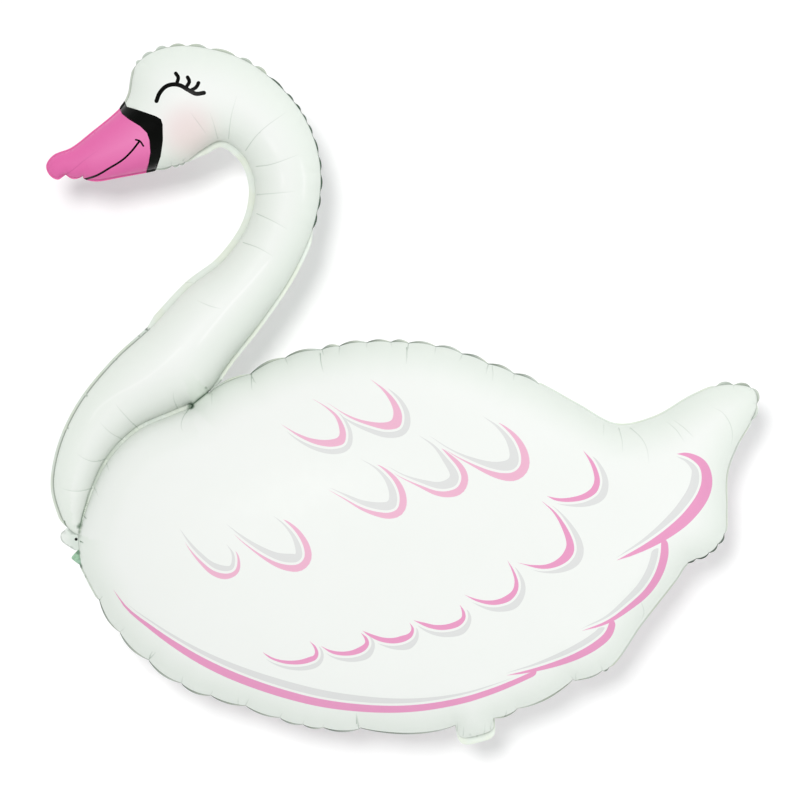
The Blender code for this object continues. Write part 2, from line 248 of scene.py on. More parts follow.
def neck_and_head():
    """The outline of the neck, head and beak, clockwise as seen from the front, from the beak tip."""
    return [
        Stretch("beak_top", [(0.001, 0.810), (0.010, 0.823), (0.035, 0.8335), (0.063, 0.855)], BORDER_NARROW,
                line=0.1),
        Stretch("forehead", [(0.105, 0.891), (0.116, 0.909), (0.1205, 0.934)], BORDER_FOREHEAD, shade=0.4),
        Stretch("crown", [(0.1254, 0.951), (0.1486, 0.9695), (0.191, 0.9785), (0.2634, 0.9644)], BORDER_CROWN,
                (0.05, 0.16, 0.26, 0.39, 0.54, 0.76, 0.88), rise=0.012, shade=0.22, line=0.35, curl=0.3,
                gap=0.30, strengths=(NONE,) * 7),
        Stretch("nape", [(0.3104, 0.9365), (0.357, 0.8856), (0.3805, 0.829), (0.3842, 0.7767)],
                BORDER_NAPE, (0.14, 0.22, 0.29, 0.36, 0.44, 0.56, 0.66, 0.78, 0.89), rise=0.012, shade=1.0,
                line=0.45, curl=-0.6, gap=0.30, strengths=(NONE,) * 9),
        Stretch("neck_back", [(0.3725, 0.7197), (0.344, 0.656), (0.302, 0.593), (0.253, 0.530)],
                BORDER_GATHERED, shade=0.05, line=0.06),
        Stretch("passage", [CROTCH], kind=OPEN, least=2),
        Stretch("weld", WELD_LINE[:-1], kind=WELD, line=(0.05, 0.65)),
        Stretch("neck_foot", [WELD_FOOT], kind=TAB_SIDE, least=2, line=0.6),
        Stretch("neck_front", [(0.029, 0.302), (0.017, 0.327), (0.0095, 0.361), (0.0188, 0.4157),
                               (0.0465, 0.4748), (0.0959, 0.536)], BORDER_NECK_FRONT, shade=0.22, line=0.75),
        Stretch("throat", [(0.146, 0.582), (0.201, 0.640), (0.247, 0.676), (0.284, 0.731), (0.292, 0.783),
                           (0.277, 0.823), (0.245, 0.845), (0.216, 0.831)], BORDER_TAUT, shade=0.10,
                line=0.12),
        Stretch("chin", [(0.194, 0.815)], BORDER_NARROW, (0.20, 0.45), shade=0.3),
        Stretch("beak_low", [(0.153, 0.805), (0.103, 0.7955), (0.069, 0.7900)], BORDER_NARROW, line=0.2),
        Stretch("beak_gather", [(0.0495, 0.7935)], BORDER_NARROW, (1.0,), rise=0.20),
        Stretch("beak_tip", [(0.0240, 0.7975), (0.0150, 0.7925), (0.0050, 0.7985)], BORDER_NARROW, line=0.1),
    ]


def body_and_tail():
    """The outline of the body and tail, clockwise as seen from the front, from the crotch."""
    return [
        Stretch("back", [CROTCH, (0.246, 0.501), (0.285, 0.518), (0.335, 0.541), (0.385, 0.552),
                         (0.450, 0.562), (0.550, 0.556), (0.626, 0.530)], BORDER_BACK,
                (0.13, 0.24, 0.35, 0.40, 0.48, 0.55, 0.60, 0.68, 0.76, 0.84, 0.92), rise=0.055, shade=0.42,
                lead=0.9, line=0.50, curl=-0.5,
                strengths=(1.0, 0.5, 1.0, 0.5, 0.4, 0.4, 0.9, 0.4, 0.4, 0.6, 0.4)),
        Stretch("rump_dip", [(0.693, 0.503), (0.746, 0.474), (0.801, 0.446), (0.855, 0.457), (0.9038, 0.485)],
                BORDER_NARROW, shade=0.12, line=0.10),
        Stretch("tail_tip", [(0.9397, 0.500), (0.968, 0.502), (0.9925, 0.496), (0.998, 0.478)],
                BORDER_TAIL_TIP, (0.25, 0.50, 0.75), rise=0.03, shade=0.28, lead=-0.6, line=0.35, curl=0.3,
                gap=0.2),
        Stretch("tail_under", [(0.989, 0.4512), (0.969, 0.416), (0.9555, 0.378), (0.9545, 0.326)],
                BORDER_NARROW, shade=0.1, line=0.05),
        Stretch("rump", [(0.952, 0.292), (0.929, 0.2645)], BORDER_NARROW, (0.25, 0.50, 0.80), shade=0.8,
                line=0.7),
        Stretch("flank", [(0.900, 0.2515), (0.884, 0.229), (0.835, 0.166)], BORDER_NARROW, shade=0.0,
                line=0.0),
        Stretch("belly_end", [(0.790, 0.105), (0.744, 0.087), (0.663, 0.046)], BORDER_NARROW,
                (0.06, 0.30, 0.80), shade=0.25, lead=0.9, line=0.1),
        Stretch("filling_tail", [(0.627, 0.033)], least=40, shade=0.05, line=0.05),
        Stretch("belly", [(0.574, 0.020), (0.484, 0.017), (0.371, 0.022), (0.276, 0.051), (0.188, 0.082),
                          (0.103, 0.152)], BORDER_BELLY,
                (0.24, 0.33, 0.38, 0.44, 0.53, 0.62, 0.70, 0.80, 0.90), rise=0.06, shade=0.5, lead=-0.6,
                line=0.4, curl=-0.5, strengths=(1.0, 0.3, 0.3, 0.4, 0.5, 0.3, 0.4, 1.0, 0.3)),
        Stretch("breast", [(0.072, 0.202), (0.056, 0.232)], BORDER_NARROW, shade=0.3),
        Stretch("pleat", [(0.048, 0.250)], BORDER_NARROW, least=4),
        Stretch("tab_end", [(0.0455, 0.270)], BORDER_NARROW, kind=TAB_SIDE, least=2, line=0.5),
        Stretch("weld", WELD_LINE[:0:-1], kind=WELD, line=(0.35, 0.0)),
        Stretch("passage", [WELD_TOP], kind=OPEN, least=2),
    ]


# Creases that run in from the seams: their strength and points in photograph pixels, from the deep end
SEAM_CREASES = [
    (1.0, [(251.7, 373.5), (252.2, 382), (253, 391)]),
    (1.0, [(320.5, 354), (321.5, 363), (324, 373)]),
    (0.8, [(406.6, 347.5), (406.8, 356), (406, 365)]),
    (0.5, [(492, 366), (492.5, 374), (491.5, 382)]),
    (0.8, [(98.9, 601), (101.5, 598), (104.6, 595)]),
    (0.9, [(150, 658), (151.5, 654), (154, 649.5)]),
    (0.4, [(238.5, 704), (238.8, 699), (239, 695)]),
    (0.9, [(356.8, 722), (356.8, 716), (356.5, 710)]),
    (0.4, [(576, 681), (575, 676), (574.8, 671)]),
    (0.5, [(456.8, 731), (457.4, 726), (456.8, 720)]),
    (0.4, [(463, 735), (463.5, 729), (463, 724)]),
    (0.5, [(490.3, 729), (491, 723), (490.4, 717)]),
    (0.4, [(484, 733), (484.6, 727), (484.4, 721)]),
    (0.6, [(505, 716.5), (506, 712), (506.5, 708)]),
    (1.4, [(80.3, 527), (82.6, 515), (85.3, 506), (88, 495), (91, 486)]),
    (1.8, [(64.3, 520.8), (65.9, 524.6), (68.2, 528.2)]),
    (0.9, [(190, 407.5), (184, 417), (182.3, 425.6), (184.5, 432)]),
    (0.5, [(212.3, 393.5), (212.5, 399), (213, 406)]),
    (0.5, [(177.5, 408), (174.5, 400), (174, 391)]),
    (0.6, [(137.8, 428), (130.2, 420.3), (122, 411), (115.6, 402.7)]),
    (0.5, [(123.3, 440), (111, 432.5), (100.3, 421.8)]),
    (0.6, [(106, 459), (95, 461.5), (86, 459), (77, 453)]),
    (0.6, [(93, 488), (80, 491), (68, 490), (60, 487)]),
    (0.5, [(106.4, 463), (108.5, 467.5), (110.3, 472)]),
    (0.5, [(94, 487), (97, 491.5), (99.6, 497)]),
    (1.6, [(84.5, 516.5), (87.5, 519.3)]),
    (2.2, [(80.5, 541), (85, 542.6)]),
    (0.4, [(218, 139), (214.5, 125), (210, 112)]),
    (0.5, [(229, 139), (232, 117), (238, 96)]),
    (0.6, [(246, 151), (255, 139), (265, 129), (288, 112)]),
    (0.6, [(257, 167), (268, 166), (279, 163), (300, 155)]),
    (0.5, [(257, 195), (275, 194), (296, 192)]),
    (0.6, [(257, 214), (272, 221), (288, 230)]),
    (0.6, [(244, 243), (258, 248), (274, 257)]),
    (0.4, [(150, 139), (151, 151)]),
    (0.4, [(183, 161), (187, 157.5)]),
    (0.5, [(618, 428), (620.5, 440), (621, 453)]),
    (0.5, [(630, 428), (640, 438), (645, 448), (647, 464)]),
    (0.3, [(603, 425), (602, 436)]),
    (0.5, [(61.6, 177), (72, 171), (86, 160), (100, 150)]),
]
SEAM_CREASE_DEPTH = 0.0023
PUCKER_CREASE_DEPTH = 0.0022

# Soft folds that lie free on the sheets
FREE_CREASES = [
    [(712, 407), (722, 412), (730, 423), (733, 436), (731, 448)],
    [(666, 421), (676, 430), (684, 442)],
    [(672, 419), (684, 428), (694, 438)],
    [(190, 112), (199, 124), (207, 135)],
    [(640, 600), (644, 612), (641, 622)],
    [(160, 290), (176, 283), (196, 282)],
    [(196, 300), (210, 306), (222, 309)],
]
FREE_CREASE_DEPTH = 0.0007
CREASE_REACHES = (0.0015, 0.0050)  # how far from its line a crease still lowers the sheet, sharply and softly
CREASE_ROWS = (0.0009, 0.0024)
MARK_REACH = 0.0009
CREASE_FADING = 0.8
CREASE_TURN, CREASE_LEAST = 0.25, 0.5
CREASE_SHARE, CREASE_LENGTHS = 0.30, (0.7, 1.1)  # as a share of its gather, and how it varies
CREASE_LONGEST, DEEP_REACH = 0.012, 0.030  # a pucker's longest crease, and how wide a gather has its deepest

# Lines of painted highlight on the neck and nape: strength, half width and points in photograph pixels
PAINTED_HIGHLIGHTS = [
    (0.6, 1.3, [(271, 258), (250, 283), (230, 305), (212, 327), (197.5, 345)]),
    (0.32, 1.3, [(184, 344), (168, 360), (150, 375), (132.5, 386), (115, 395.5), (98, 408.5), (89, 422)]),
    (0.35, 3.0, [(262, 132), (271, 143), (280, 158)]),
    (0.4, 1.8, [(280, 168), (282.5, 178), (282, 190)]),
    (0.4, 1.8, [(300, 158), (304, 178), (303, 200)]),
]
HIGHLIGHT_END, HIGHLIGHT_FADE = 0.25, 12  # how strong a painted highlight's ends are, and over how many pixels it fades to them

# Spots of painted shade where the foil is pinched: photograph pixels, radius and strength
SHADE_SPOTS = [
    (191.2, 406, 4.2, 2.2), (188, 408.3, 2.0, 0.7), (80.4, 525, 3.0, 1.0), (79.8, 532, 2.4, 0.5),
    (116.6, 359.3, 1.6, 0.8), (87.1, 395.8, 1.6, 0.8), (68, 428, 1.8, 0.8), (720.6, 545, 2.2, 0.9),
    (713, 554, 2.4, 0.9), (206.3, 387.8, 1.8, 0.7), (146.5, 329.3, 2.0, 1.2), (139, 336, 1.8, 0.6),
    (84.6, 577, 2.0, 0.9), (79.0, 526.5, 3.2, 1.1), (624, 658, 2.4, 0.8), (606, 671, 2.6, 0.7),
    (580, 681, 2.4, 0.7), (78.3, 552.6, 3.0, 1.8), (80.2, 566, 3.6, 1.4), (79.6, 559, 2.0, 0.5),
    (64.6, 532.5, 2.6, 0.2), (71.5, 547.5, 2.6, 0.25), (79.5, 536, 3.0, 0.35), (470, 734, 2.0, 0.3),
    (477, 736, 1.8, 0.3),
]
SPOT_RINGS = ((0.5, 6), (1.0, 9))
SPOT_STEEPNESS = 1.4

# The tab's free edge, in photograph pixels
TAB_TURN = [(64.2, 530.4), (61.6, 532.6), (60.4, 536.8), (61.8, 541.2), (65.6, 544.4), (70, 547.2), (75, 550)]
PASSAGE_PINCH = 0.60  # how far the foil dips along the line where neck and body meet
PASSAGE_REACH = 0.0080
# how strongly painted shade darkens the line where neck and body meet
PASSAGE_SHADE = 1.3
WELD_DIP = 0.5  # how much gentler the sheets rise beside the inner weld
WELD_REACH = 0.012
WELD_CLEAR = 0.036  # the painted shade at the seams stays at this distance's level up to the inner weld and the nape's foot

# Printed feathers: the line between two strokes. A stroke has its widths at the feather's tip, half way up
# and half way down its arms, then where along the line it starts and stops and where the tip lies.
INNER_PINK = (PINK, GREY)
INNER_GREY = (GREY, PINK)
STROKE_GAP = 1.2
FEATHERS = [
    ([(371, 378), (387, 389.6), (398.5, 403), (403.3, 416), (400.5, 427.5), (388, 430.8), (369.4, 426.7),
      (349.8, 419), (324.5, 402.5)], INNER_PINK, (11.4, 4.8, 2.9, 0.0, 1.0, 0.42),
     (6.9, 3.9, 4.2, 0.13, 0.86, 0.42)),
    ([(312.5, 397.3), (328.5, 406.5), (338, 414), (344.5, 424), (347.3, 434), (345, 444), (334, 447.7),
      (318, 446), (300, 438.5), (279.5, 424.5)], INNER_PINK, (9.2, 3.1, 4.0, 0.0, 1.0, 0.48),
     (5.7, 3.4, 3.2, 0.22, 0.93, 0.50)),
    ([(361, 457.5), (380.3, 468.3), (393.3, 482.5), (398.3, 496), (396.5, 507.5), (389.5, 511),
      (378.5, 510.5), (362.5, 506), (343.5, 496), (328.3, 488)], INNER_GREY, (10.4, 4.2, 4.5, 0.0, 1.0, 0.48),
     (7.8, 4.6, 2.6, 0.12, 1.0, 0.46)),
    ([(274, 514.3), (285.5, 522.5), (296.5, 534.5), (303, 548), (303.3, 557), (298.5, 562.3), (291, 563.4),
      (279.5, 561.5), (263.5, 554), (244, 540.5), (225.5, 524.3)], INNER_GREY,
     (9.2, 4.2, 4.4, 0.0, 1.0, 0.45), (7.8, 5.0, 2.6, 0.07, 0.92, 0.41)),
    ([(227.5, 543), (235, 552), (236.6, 561), (234.5, 569), (228, 572), (215.5, 569.8), (203, 560.5),
      (189.5, 546), (178, 528)], INNER_GREY, (5.6, 3.2, 3.3, 0.0, 1.0, 0.36),
     (5.8, 3.4, 2.8, 0.10, 0.86, 0.38)),
    ([(483, 414.8), (500.5, 426), (514, 441), (519.5, 455), (518.8, 465), (513, 470.6), (504, 471.8),
      (490.5, 469.3), (465.8, 459.3), (444, 447.5), (428.3, 436.3)], INNER_GREY,
     (12.2, 5.3, 3.1, 0.0, 1.0, 0.43), (9.8, 5.4, 3.0, 0.10, 0.88, 0.42)),
    ([(419, 434), (434.5, 443.5), (448, 457.5), (457.5, 469.5), (460, 478), (456.5, 486), (448, 489.5),
      (437.5, 489.5), (421, 484), (400, 475), (386.5, 466.8)], INNER_GREY, (11.0, 4.6, 3.5, 0.0, 1.0, 0.48),
     (8.0, 4.8, 2.8, 0.18, 0.94, 0.48)),
    ([(584, 449.5), (594, 460.5), (600, 474), (601, 483.5), (597.3, 493), (586.5, 500), (570, 503),
      (555, 501.5), (546, 497)], INNER_PINK, (6.9, 4.4, 4.6, 0.0, 1.0, 0.47),
     (8.0, 4.6, 3.4, 0.10, 0.90, 0.47)),
    ([(541.5, 499.3), (556, 511), (568, 527.5), (574.5, 542.5), (574.8, 552), (569, 561), (556.5, 567.8),
      (541, 569.7), (516, 563.3)], INNER_PINK, (9.5, 4.4, 4.2, 0.0, 1.0, 0.54),
     (8.4, 3.9, 3.2, 0.08, 0.88, 0.54)),
    ([(508, 559), (515.5, 571), (519.5, 583.5), (518, 592.5), (511, 601), (499.5, 605.2), (489.5, 605.5),
      (476, 602), (463.5, 595.3)], INNER_PINK, (6.6, 3.6, 3.7, 0.0, 1.0, 0.50),
     (7.4, 4.2, 3.6, 0.10, 0.90, 0.48)),
    ([(310.5, 639.8), (317, 645.5), (319.8, 653), (317.5, 659.5), (309.5, 663.5), (298, 665.5), (283, 664.3),
      (269.5, 659.3), (261.5, 652.7)], INNER_PINK, (5.4, 3.3, 3.3, 0.0, 1.0, 0.34),
     (5.0, 3.2, 2.8, 0.12, 0.92, 0.34)),
    ([(361.5, 631), (368.5, 637), (370.3, 643.5), (366.5, 650.3), (358, 654.8), (346, 656.5), (332, 654.3),
      (319.5, 646.3)], INNER_PINK, (6.0, 3.8, 3.8, 0.0, 1.0, 0.35), (6.2, 3.8, 3.4, 0.12, 0.88, 0.34)),
    ([(410.5, 621.3), (415, 628), (413.5, 636), (406.5, 641.5), (394, 644.2), (380.5, 642.3), (369, 637),
      (361.5, 631)], INNER_PINK, (6.4, 3.8, 4.6, 0.0, 1.0, 0.36), (6.8, 4.0, 3.2, 0.10, 0.74, 0.33)),
    ([(460.5, 603.2), (466, 611.5), (466.3, 618.8), (460, 626.5), (444, 630.7), (428.5, 628.5),
      (412.3, 620.7)], INNER_PINK, (6.0, 3.8, 4.4, 0.0, 1.0, 0.37),
     (6.6, 4.0, 3.9, 0.10, 0.92, 0.36)),
]
PALE_FEATHERS = 7  # the upper feathers are printed in a paler pink
STROKE_HAIR = 1.2  # the least width at a quarter of an arm
STROKE_POINTS = 47
TIP_ROUNDING = 9  # how many points round off a tip
ARM_END = 0.2

# Printed arcs along the flank: the line between two strokes. A stroke has its greatest width, where along the
# line it starts, stops and is widest, and its width at the start as a share of the greatest.
ARCS = [
    ([(677, 455), (690, 459.5), (699.5, 468), (701.5, 480), (697.5, 493), (684, 511.5), (669, 525.5),
      (647, 541.5), (615.8, 559.5)], (8.8, 0.0, 1.0, 0.28, 0.0), (12.2, 0.0, 1.0, 0.34, 0.0)),
    ([(660.5, 538), (659.5, 556), (654.5, 573), (644.5, 589), (629, 603.5), (608, 619), (581.5, 630)],
     (7.2, 0.08, 1.0, 0.18, 0.95), (8.2, 0.0, 1.0, 0.14, 0.7)),
    ([(610, 618), (604.5, 632), (594, 641.5), (578, 651), (560, 658.8), (536, 666.8), (506, 674.5)],
     (5.8, 0.09, 1.0, 0.18, 0.95), (7.9, 0.0, 1.0, 0.14, 0.7)),
    ([(536, 669), (512, 679.5), (490, 688), (462, 696.5), (421, 703.5), (381, 704.8), (330, 699.8),
      (289, 690.3), (243, 674.8), (206, 658.2), (175, 640.5), (151, 624.5), (128, 607.5), (113, 589)],
     (7.0, 0.05, 0.97, 0.50, 0.0), (8.2, 0.0, 1.0, 0.66, 0.6)),
]
ARC_POINTS = 70
ARC_HAIR, ARC_HAIR_RISE = 0.10, 8
ARC_CROWDING = 1.5
ARC_POWERS = (1.6, 1.1)  # how suddenly the grey and the pink stroke swell
ARC_ROUND = 6.0  # how far from a blunt start its corner is rounded off

# Printed face: thick lines with round ends, in photograph pixels
EYE_LINE = [(156.5, 101), (159.5, 93.3), (165.8, 86.6), (173.3, 84.4), (180.5, 85.6), (188.2, 90),
            (196.1, 93.9), (204, 93)]
LASHES = [
    [(175.7, 73.3), (178.3, 77.6), (176.7, 83.5)],
    [(187.6, 77.3), (189.4, 81.6), (185.8, 88)],
    [(198.6, 82.9), (196.3, 87.3), (190, 91)],
]
SMILE = [(82.5, 178.6), (95.2, 175), (109.1, 167.4), (122.4, 159.3), (131.8, 150.4), (138.9, 141.6)]
SMILE_END = [(135.6, 139.6), (139.7, 140.9), (143.2, 145.8)]
EYE_STROKE, LASH_STROKE, SMILE_STROKE, SMILE_END_STROKE = 4.3, 3.8, 2.0, 1.8
LASH_TAPER = 0.95
CAP_POINTS = 5
BAND = [(122.6, 98), (126.9, 106.7), (140.7, 111.1), (156.5, 116.8), (161.5, 119.8), (163.3, 125),
        (163.4, 140.7), (160.9, 156.5), (154.4, 171), (153, 178), (144, 178), (145.7, 171.6),
        (148.8, 162.5), (150.6, 152.6), (149.9, 140.7), (147.4, 133.5), (140.7, 126.9), (128.9, 119.6),
        (121.9, 113.8), (119.2, 108.1), (115, 103)]
BAND_INNER = BAND[10:]
BEAK_BEYOND = [(115, 60), (30, 90), (30, 200), (144, 200)]
BLUSH_CENTRE, BLUSH_RADIUS = (188, 131), 27


def at(x, y, lift=0.0):
    """A photograph pixel as a point of the plan. What lies above the seam plane looks a little larger."""
    nearer = 1 - lift / CAMERA_DISTANCE
    x = FRAME_CENTRE + (x - FRAME_CENTRE) * nearer
    y = FRAME_CENTRE + (y - FRAME_CENTRE) * nearer
    return np.array([(x - BEAK_TIP_X) * PIXEL, (FILLING_TAIL_Y - y) * PIXEL])


def on_plan(points, lift=0.0):
    return [at(x, y, lift) for x, y in points]


def spline_segment(points, steps):
    """Centripetal Catmull-Rom points from the second of four points to the third, without the third."""
    knots = np.cumsum([0.0, *np.linalg.norm(np.diff(points, axis=0), axis=1) ** 0.5])
    knot = np.linspace(knots[1], knots[2], steps, endpoint=False)[:, None]
    layer = points
    for spans in (((0, 1), (1, 2), (2, 3)), ((0, 2), (1, 3)), ((1, 2),)):
        shares = [(knot - knots[a]) / (knots[b] - knots[a]) for a, b in spans]
        layer = [a * (1 - share) + b * share for a, b, share in zip(layer, layer[1:], shares)]
    return layer[0]


def smooth_curve(points, before=None, after=None, steps=40):
    """A curve through the points. Where nothing runs on before or after, the end turns straight."""
    before = 2 * points[0] - points[1] if before is None else before
    after = 2 * points[-1] - points[-2] if after is None else after
    control = np.array([before, *points, after])
    segments = [spline_segment(control[i:i + 4], steps) for i in range(len(points) - 1)]
    return np.concatenate([*segments, control[-2:-1]])


def along(curve):
    """Distance along a curve at each of its points."""
    return np.concatenate([[0.0], np.cumsum(np.linalg.norm(np.diff(curve, axis=0), axis=1))])


def sample(curve, shares):
    """Points at shares of a curve's length."""
    run = along(curve)
    return np.stack([np.interp(shares * run[-1], run, curve[:, k]) for k in (0, 1)], axis=1)


def directions(curve):
    """Unit directions at a curve's points."""
    step = np.gradient(curve, axis=0)
    return step / np.linalg.norm(step, axis=1)[:, None]


def leftward(curve):
    """Unit directions to the left of a curve, at its points."""
    step = directions(curve)
    return np.stack([-step[:, 1], step[:, 0]], axis=1)


def stations(stretch, length):
    """Places along a stretch: the share of it, the share of the gather there, and that gather's share."""
    ends = sorted({0.0, *stretch.puckers, 1.0})
    places = []
    for a, b in zip(ends, ends[1:]):
        least = LEAST_IN_GATHER if stretch.puckers else stretch.least
        count = max(least, round((b - a) * length / EDGE_STEP))
        places += [(a + (b - a) * k / count, k / count, b - a) for k in range(count)]
    return places


class Lobe:
    """One part of the outline: its seam, the outer edge of the welded border, and how both look."""

    def __init__(self, stretches, seed):
        draw = random.Random(seed)
        base, rows, self.pucker_places = [], [], []
        for i, s in enumerate(stretches):
            before, after, later = (stretches[(i + k) % len(stretches)] for k in (-1, 1, 2))
            beyond = (after.points + later.points)[1]
            ends = (None, None) if s.kind in (WELD, OPEN) else (before.points[-1], beyond)
            curve = smooth_curve(s.points + after.points[:1], *ends)
            length = along(curve)[-1]
            places = stations(s, length)
            base.append(sample(curve, np.array([p[0] for p in places])))
            for share, gather, part in places:
                reach = part * length
                if gather == 0.0:
                    fullness, lean, turn = (draw.uniform(*limits) for limits in (FULLNESSES, (-1, 1), TURNS))
                    if s.puckers and share > 0:
                        self.pucker_places.append((len(rows), reach, s.strengths[s.puckers.index(share)]))
                arc = math.sin(math.pi * gather) if s.puckers else 0.0
                rows.append({
                    "name": s.name,
                    "kind": s.kind,
                    "swell": arc,
                    "reach": reach if s.puckers else 0.0,
                    # painted shade on the border, and along the seam
                    "shade": s.darkness(share, gather, turn),
                    "line": s.line[0] + (s.line[1] - s.line[0]) * share,
                    "curl": s.curl * turn * BORDER_GATHERED * arc,
                    "wave": lean * arc * WAVE_HEIGHT,
                    "widths": s.width(share, gather) * (fullness if s.puckers else 1.0),
                    "welded": 1.0 if s.kind == WELD else share if s.name == "neck_back" else 0.0,
                    "rise": s.lift(share, gather, reach),
                })
        self.names, self.kinds = ([row[key] for row in rows] for key in ("name", "kind"))
        self.looks = {key: np.array([row[key] for row in rows]) for key in LOOKS}
        base = np.concatenate(base)
        step = np.roll(base, -1, axis=0) - np.roll(base, 1, axis=0)
        step /= np.linalg.norm(step, axis=1)[:, None]
        self.outward = np.stack([-step[:, 1], step[:, 0]], axis=1)
        from_foot = np.linalg.norm(base - np.array(WELD_FOOT) * LENGTH, axis=1)
        half = INNER_WELD / 2 * (1 - WELD_FOOT_PINCH * np.exp(-from_foot / WELD_FOOT_REACH))
        inside = [kind == WELD == before for kind, before in zip(self.kinds, np.roll(self.kinds, 1))]
        rise = np.array([row["rise"] for row in rows]) - np.where(inside, half, 0.0)
        self.seam = base + self.outward * rise[:, None]
        self.widths = self.looks["widths"]
        taut = {s.name for s in stretches if s.kind == EDGE and not s.puckers}
        self.narrow(taut - {"filling_tail", "pleat"})
        self.edge = self.seam + self.outward * self.widths[:, None]

    def narrow(self, taut):
        """A taut border narrows bit by bit towards a narrower one, and there is none at the crotch."""
        count = len(self.widths)
        for order, neighbour in ((range(count), -1), (range(count - 1, -1, -1), 1)):
            for i in order:
                if self.names[i] in taut:
                    limit = self.widths[(i + neighbour) % count] + BORDER_TAPER
                    self.widths[i] = min(self.widths[i], limit)
        self.widths[self.first("passage")] = 0.0
        if self.names[0] == "back":
            self.widths[0] = 0.0

    def first(self, name):
        return self.names.index(name)

    def run(self, start, stop):
        """Indices from one point to another, both included."""
        count = (stop - start) % len(self.seam) or len(self.seam)
        return [(start + k) % len(self.seam) for k in range(count + 1)]


def border_polygon(lobe, start, stop):
    """The welded border along a lobe, from one of its points to another."""
    run = lobe.run(start, stop)
    outer = [lobe.edge[i] for i in run if lobe.widths[i] > CLOSEST]
    return [lobe.seam[i] for i in run] + outer[::-1]


def weld_polygon(neck, body):
    """The inner weld, from its top down the neck's side and back up the body's."""
    down = neck.run(neck.first("weld"), neck.first("neck_foot"))
    up = body.run(body.first("weld"), body.first("passage"))
    return [neck.seam[i] for i in down] + [body.seam[i] for i in up[1:-1]]


def tab_polygon(neck, body):
    """The flat tab between the neck's foot and the breast."""
    above = neck.run(neck.first("neck_foot"), neck.first("neck_front"))
    below = body.run(body.first("tab_end"), body.first("weld"))
    start, end = neck.edge[above[-1]], body.edge[below[0]]
    turn = smooth_curve([start, *on_plan(TAB_TURN), end], steps=5)
    return [*turn] + [body.seam[i] for i in below] + [neck.seam[i] for i in above[1:]]


def pleat_polygon(body):
    """The border's folded corner below the tab."""
    run = body.run(body.first("pleat"), body.first("tab_end"))
    return [body.seam[i] for i in run] + [body.edge[i] for i in run][::-1]


def spot_points():
    """Points on and around each dark spot."""
    found = []
    for x, y, radius, _ in SHADE_SPOTS:
        rings = [circle(at(x, y), share * radius * PIXEL, sides) for share, sides in SPOT_RINGS]
        found.append(np.concatenate([[at(x, y)], *rings]))
    return found


def ring(centre, radius, turns):
    """Points round a centre, at the given angles."""
    return np.array(centre) + radius * np.stack([np.cos(turns), np.sin(turns)], axis=1)


def circle(centre, radius, sides):
    return ring(centre, radius, np.linspace(0, math.tau, sides, endpoint=False))


def beside(curve, shares, widths):
    """Points at shares of a curve, each set off sideways by its width."""
    line = sample(curve, shares)
    return line + leftward(line) * (np.zeros(len(line)) + widths)[:, None]


def stroke_polygon(curve, shares, side, widths, rounded_at=()):
    """A stroke on one side of a curve. Its far edge may be a curve through a few of its places."""
    near = beside(curve, shares, side * STROKE_GAP * PIXEL)
    far = beside(curve, shares, side * (STROKE_GAP + widths) * PIXEL)
    if len(rounded_at):
        far = smooth_curve([far[np.abs(shares - share).argmin()] for share in rounded_at], steps=6)
    return np.concatenate([near, far[-2:0:-1]])


def stroke_widths(shares, tip, upper, lower, start, stop, middle):
    """A stroke's widths: a power curve along each arm through its two known widths, rounded at the tip."""
    left = np.where(shares < middle, (shares - start) / (middle - start), (stop - shares) / (stop - middle))
    half_way = np.where(shares < middle, upper, lower)
    widths = np.maximum(tip * left ** np.log2(tip / half_way), STROKE_HAIR * np.minimum(1.0, 4 * left))
    kernel = np.hanning(TIP_ROUNDING) / np.hanning(TIP_ROUNDING).sum()
    rounded = np.convolve(np.pad(widths, TIP_ROUNDING // 2, mode="edge"), kernel, mode="valid")
    return np.where(left > ARM_END, rounded, widths)


def feather_polygons(points, colours, *strokes):
    """The two strokes of a printed feather, on either side of the line between them.

    The far edge of the inner stroke is a curve of its own, so that it stays round inside the bend.
    """
    curve = smooth_curve(on_plan(points, FEATHER_LIFT))
    found = []
    for side, colour, stroke in zip((-1, 1), colours, strokes):
        start, stop, middle = stroke[3:]
        shares = np.linspace(start, stop, STROKE_POINTS)
        quarters = [start + k / 4 * (middle - start) for k in range(4)]
        quarters += [middle + k / 4 * (stop - middle) for k in range(5)]
        widths = stroke_widths(shares, *stroke)
        found.append((colour, stroke_polygon(curve, shares, side, widths, quarters if side < 0 else ())))
    return found


def arc_polygons(points, *strokes):
    """The grey and the pink stroke of a printed arc, on either side of the line between them."""
    curve = smooth_curve(on_plan(points, FEATHER_LIFT))
    length = along(curve)[-1] / PIXEL
    share = np.linspace(0, 1, ARC_POINTS) ** ARC_CROWDING
    found = []
    for side, colour, power, stroke in zip((-1, 1), INNER_GREY, ARC_POWERS, strokes):
        width, start, stop, widest, blunt = stroke
        part = np.minimum(np.clip(share / widest, 0, 1), np.clip((1 - share) / (1 - widest), 0, 1))
        hair = ARC_HAIR * np.minimum(1, ARC_HAIR_RISE * part)
        swell = (1 - ARC_HAIR) * np.sin(math.pi / 2 * part) ** power + hair
        if blunt:
            corner = 1 - np.minimum(1, share * (stop - start) * length / ARC_ROUND)
            swell = np.where(share < widest, blunt + (1 - blunt) * swell, swell) * np.sqrt(1 - corner**2)
        found.append((colour, stroke_polygon(curve, start + share * (stop - start), side, width * swell)))
    return found


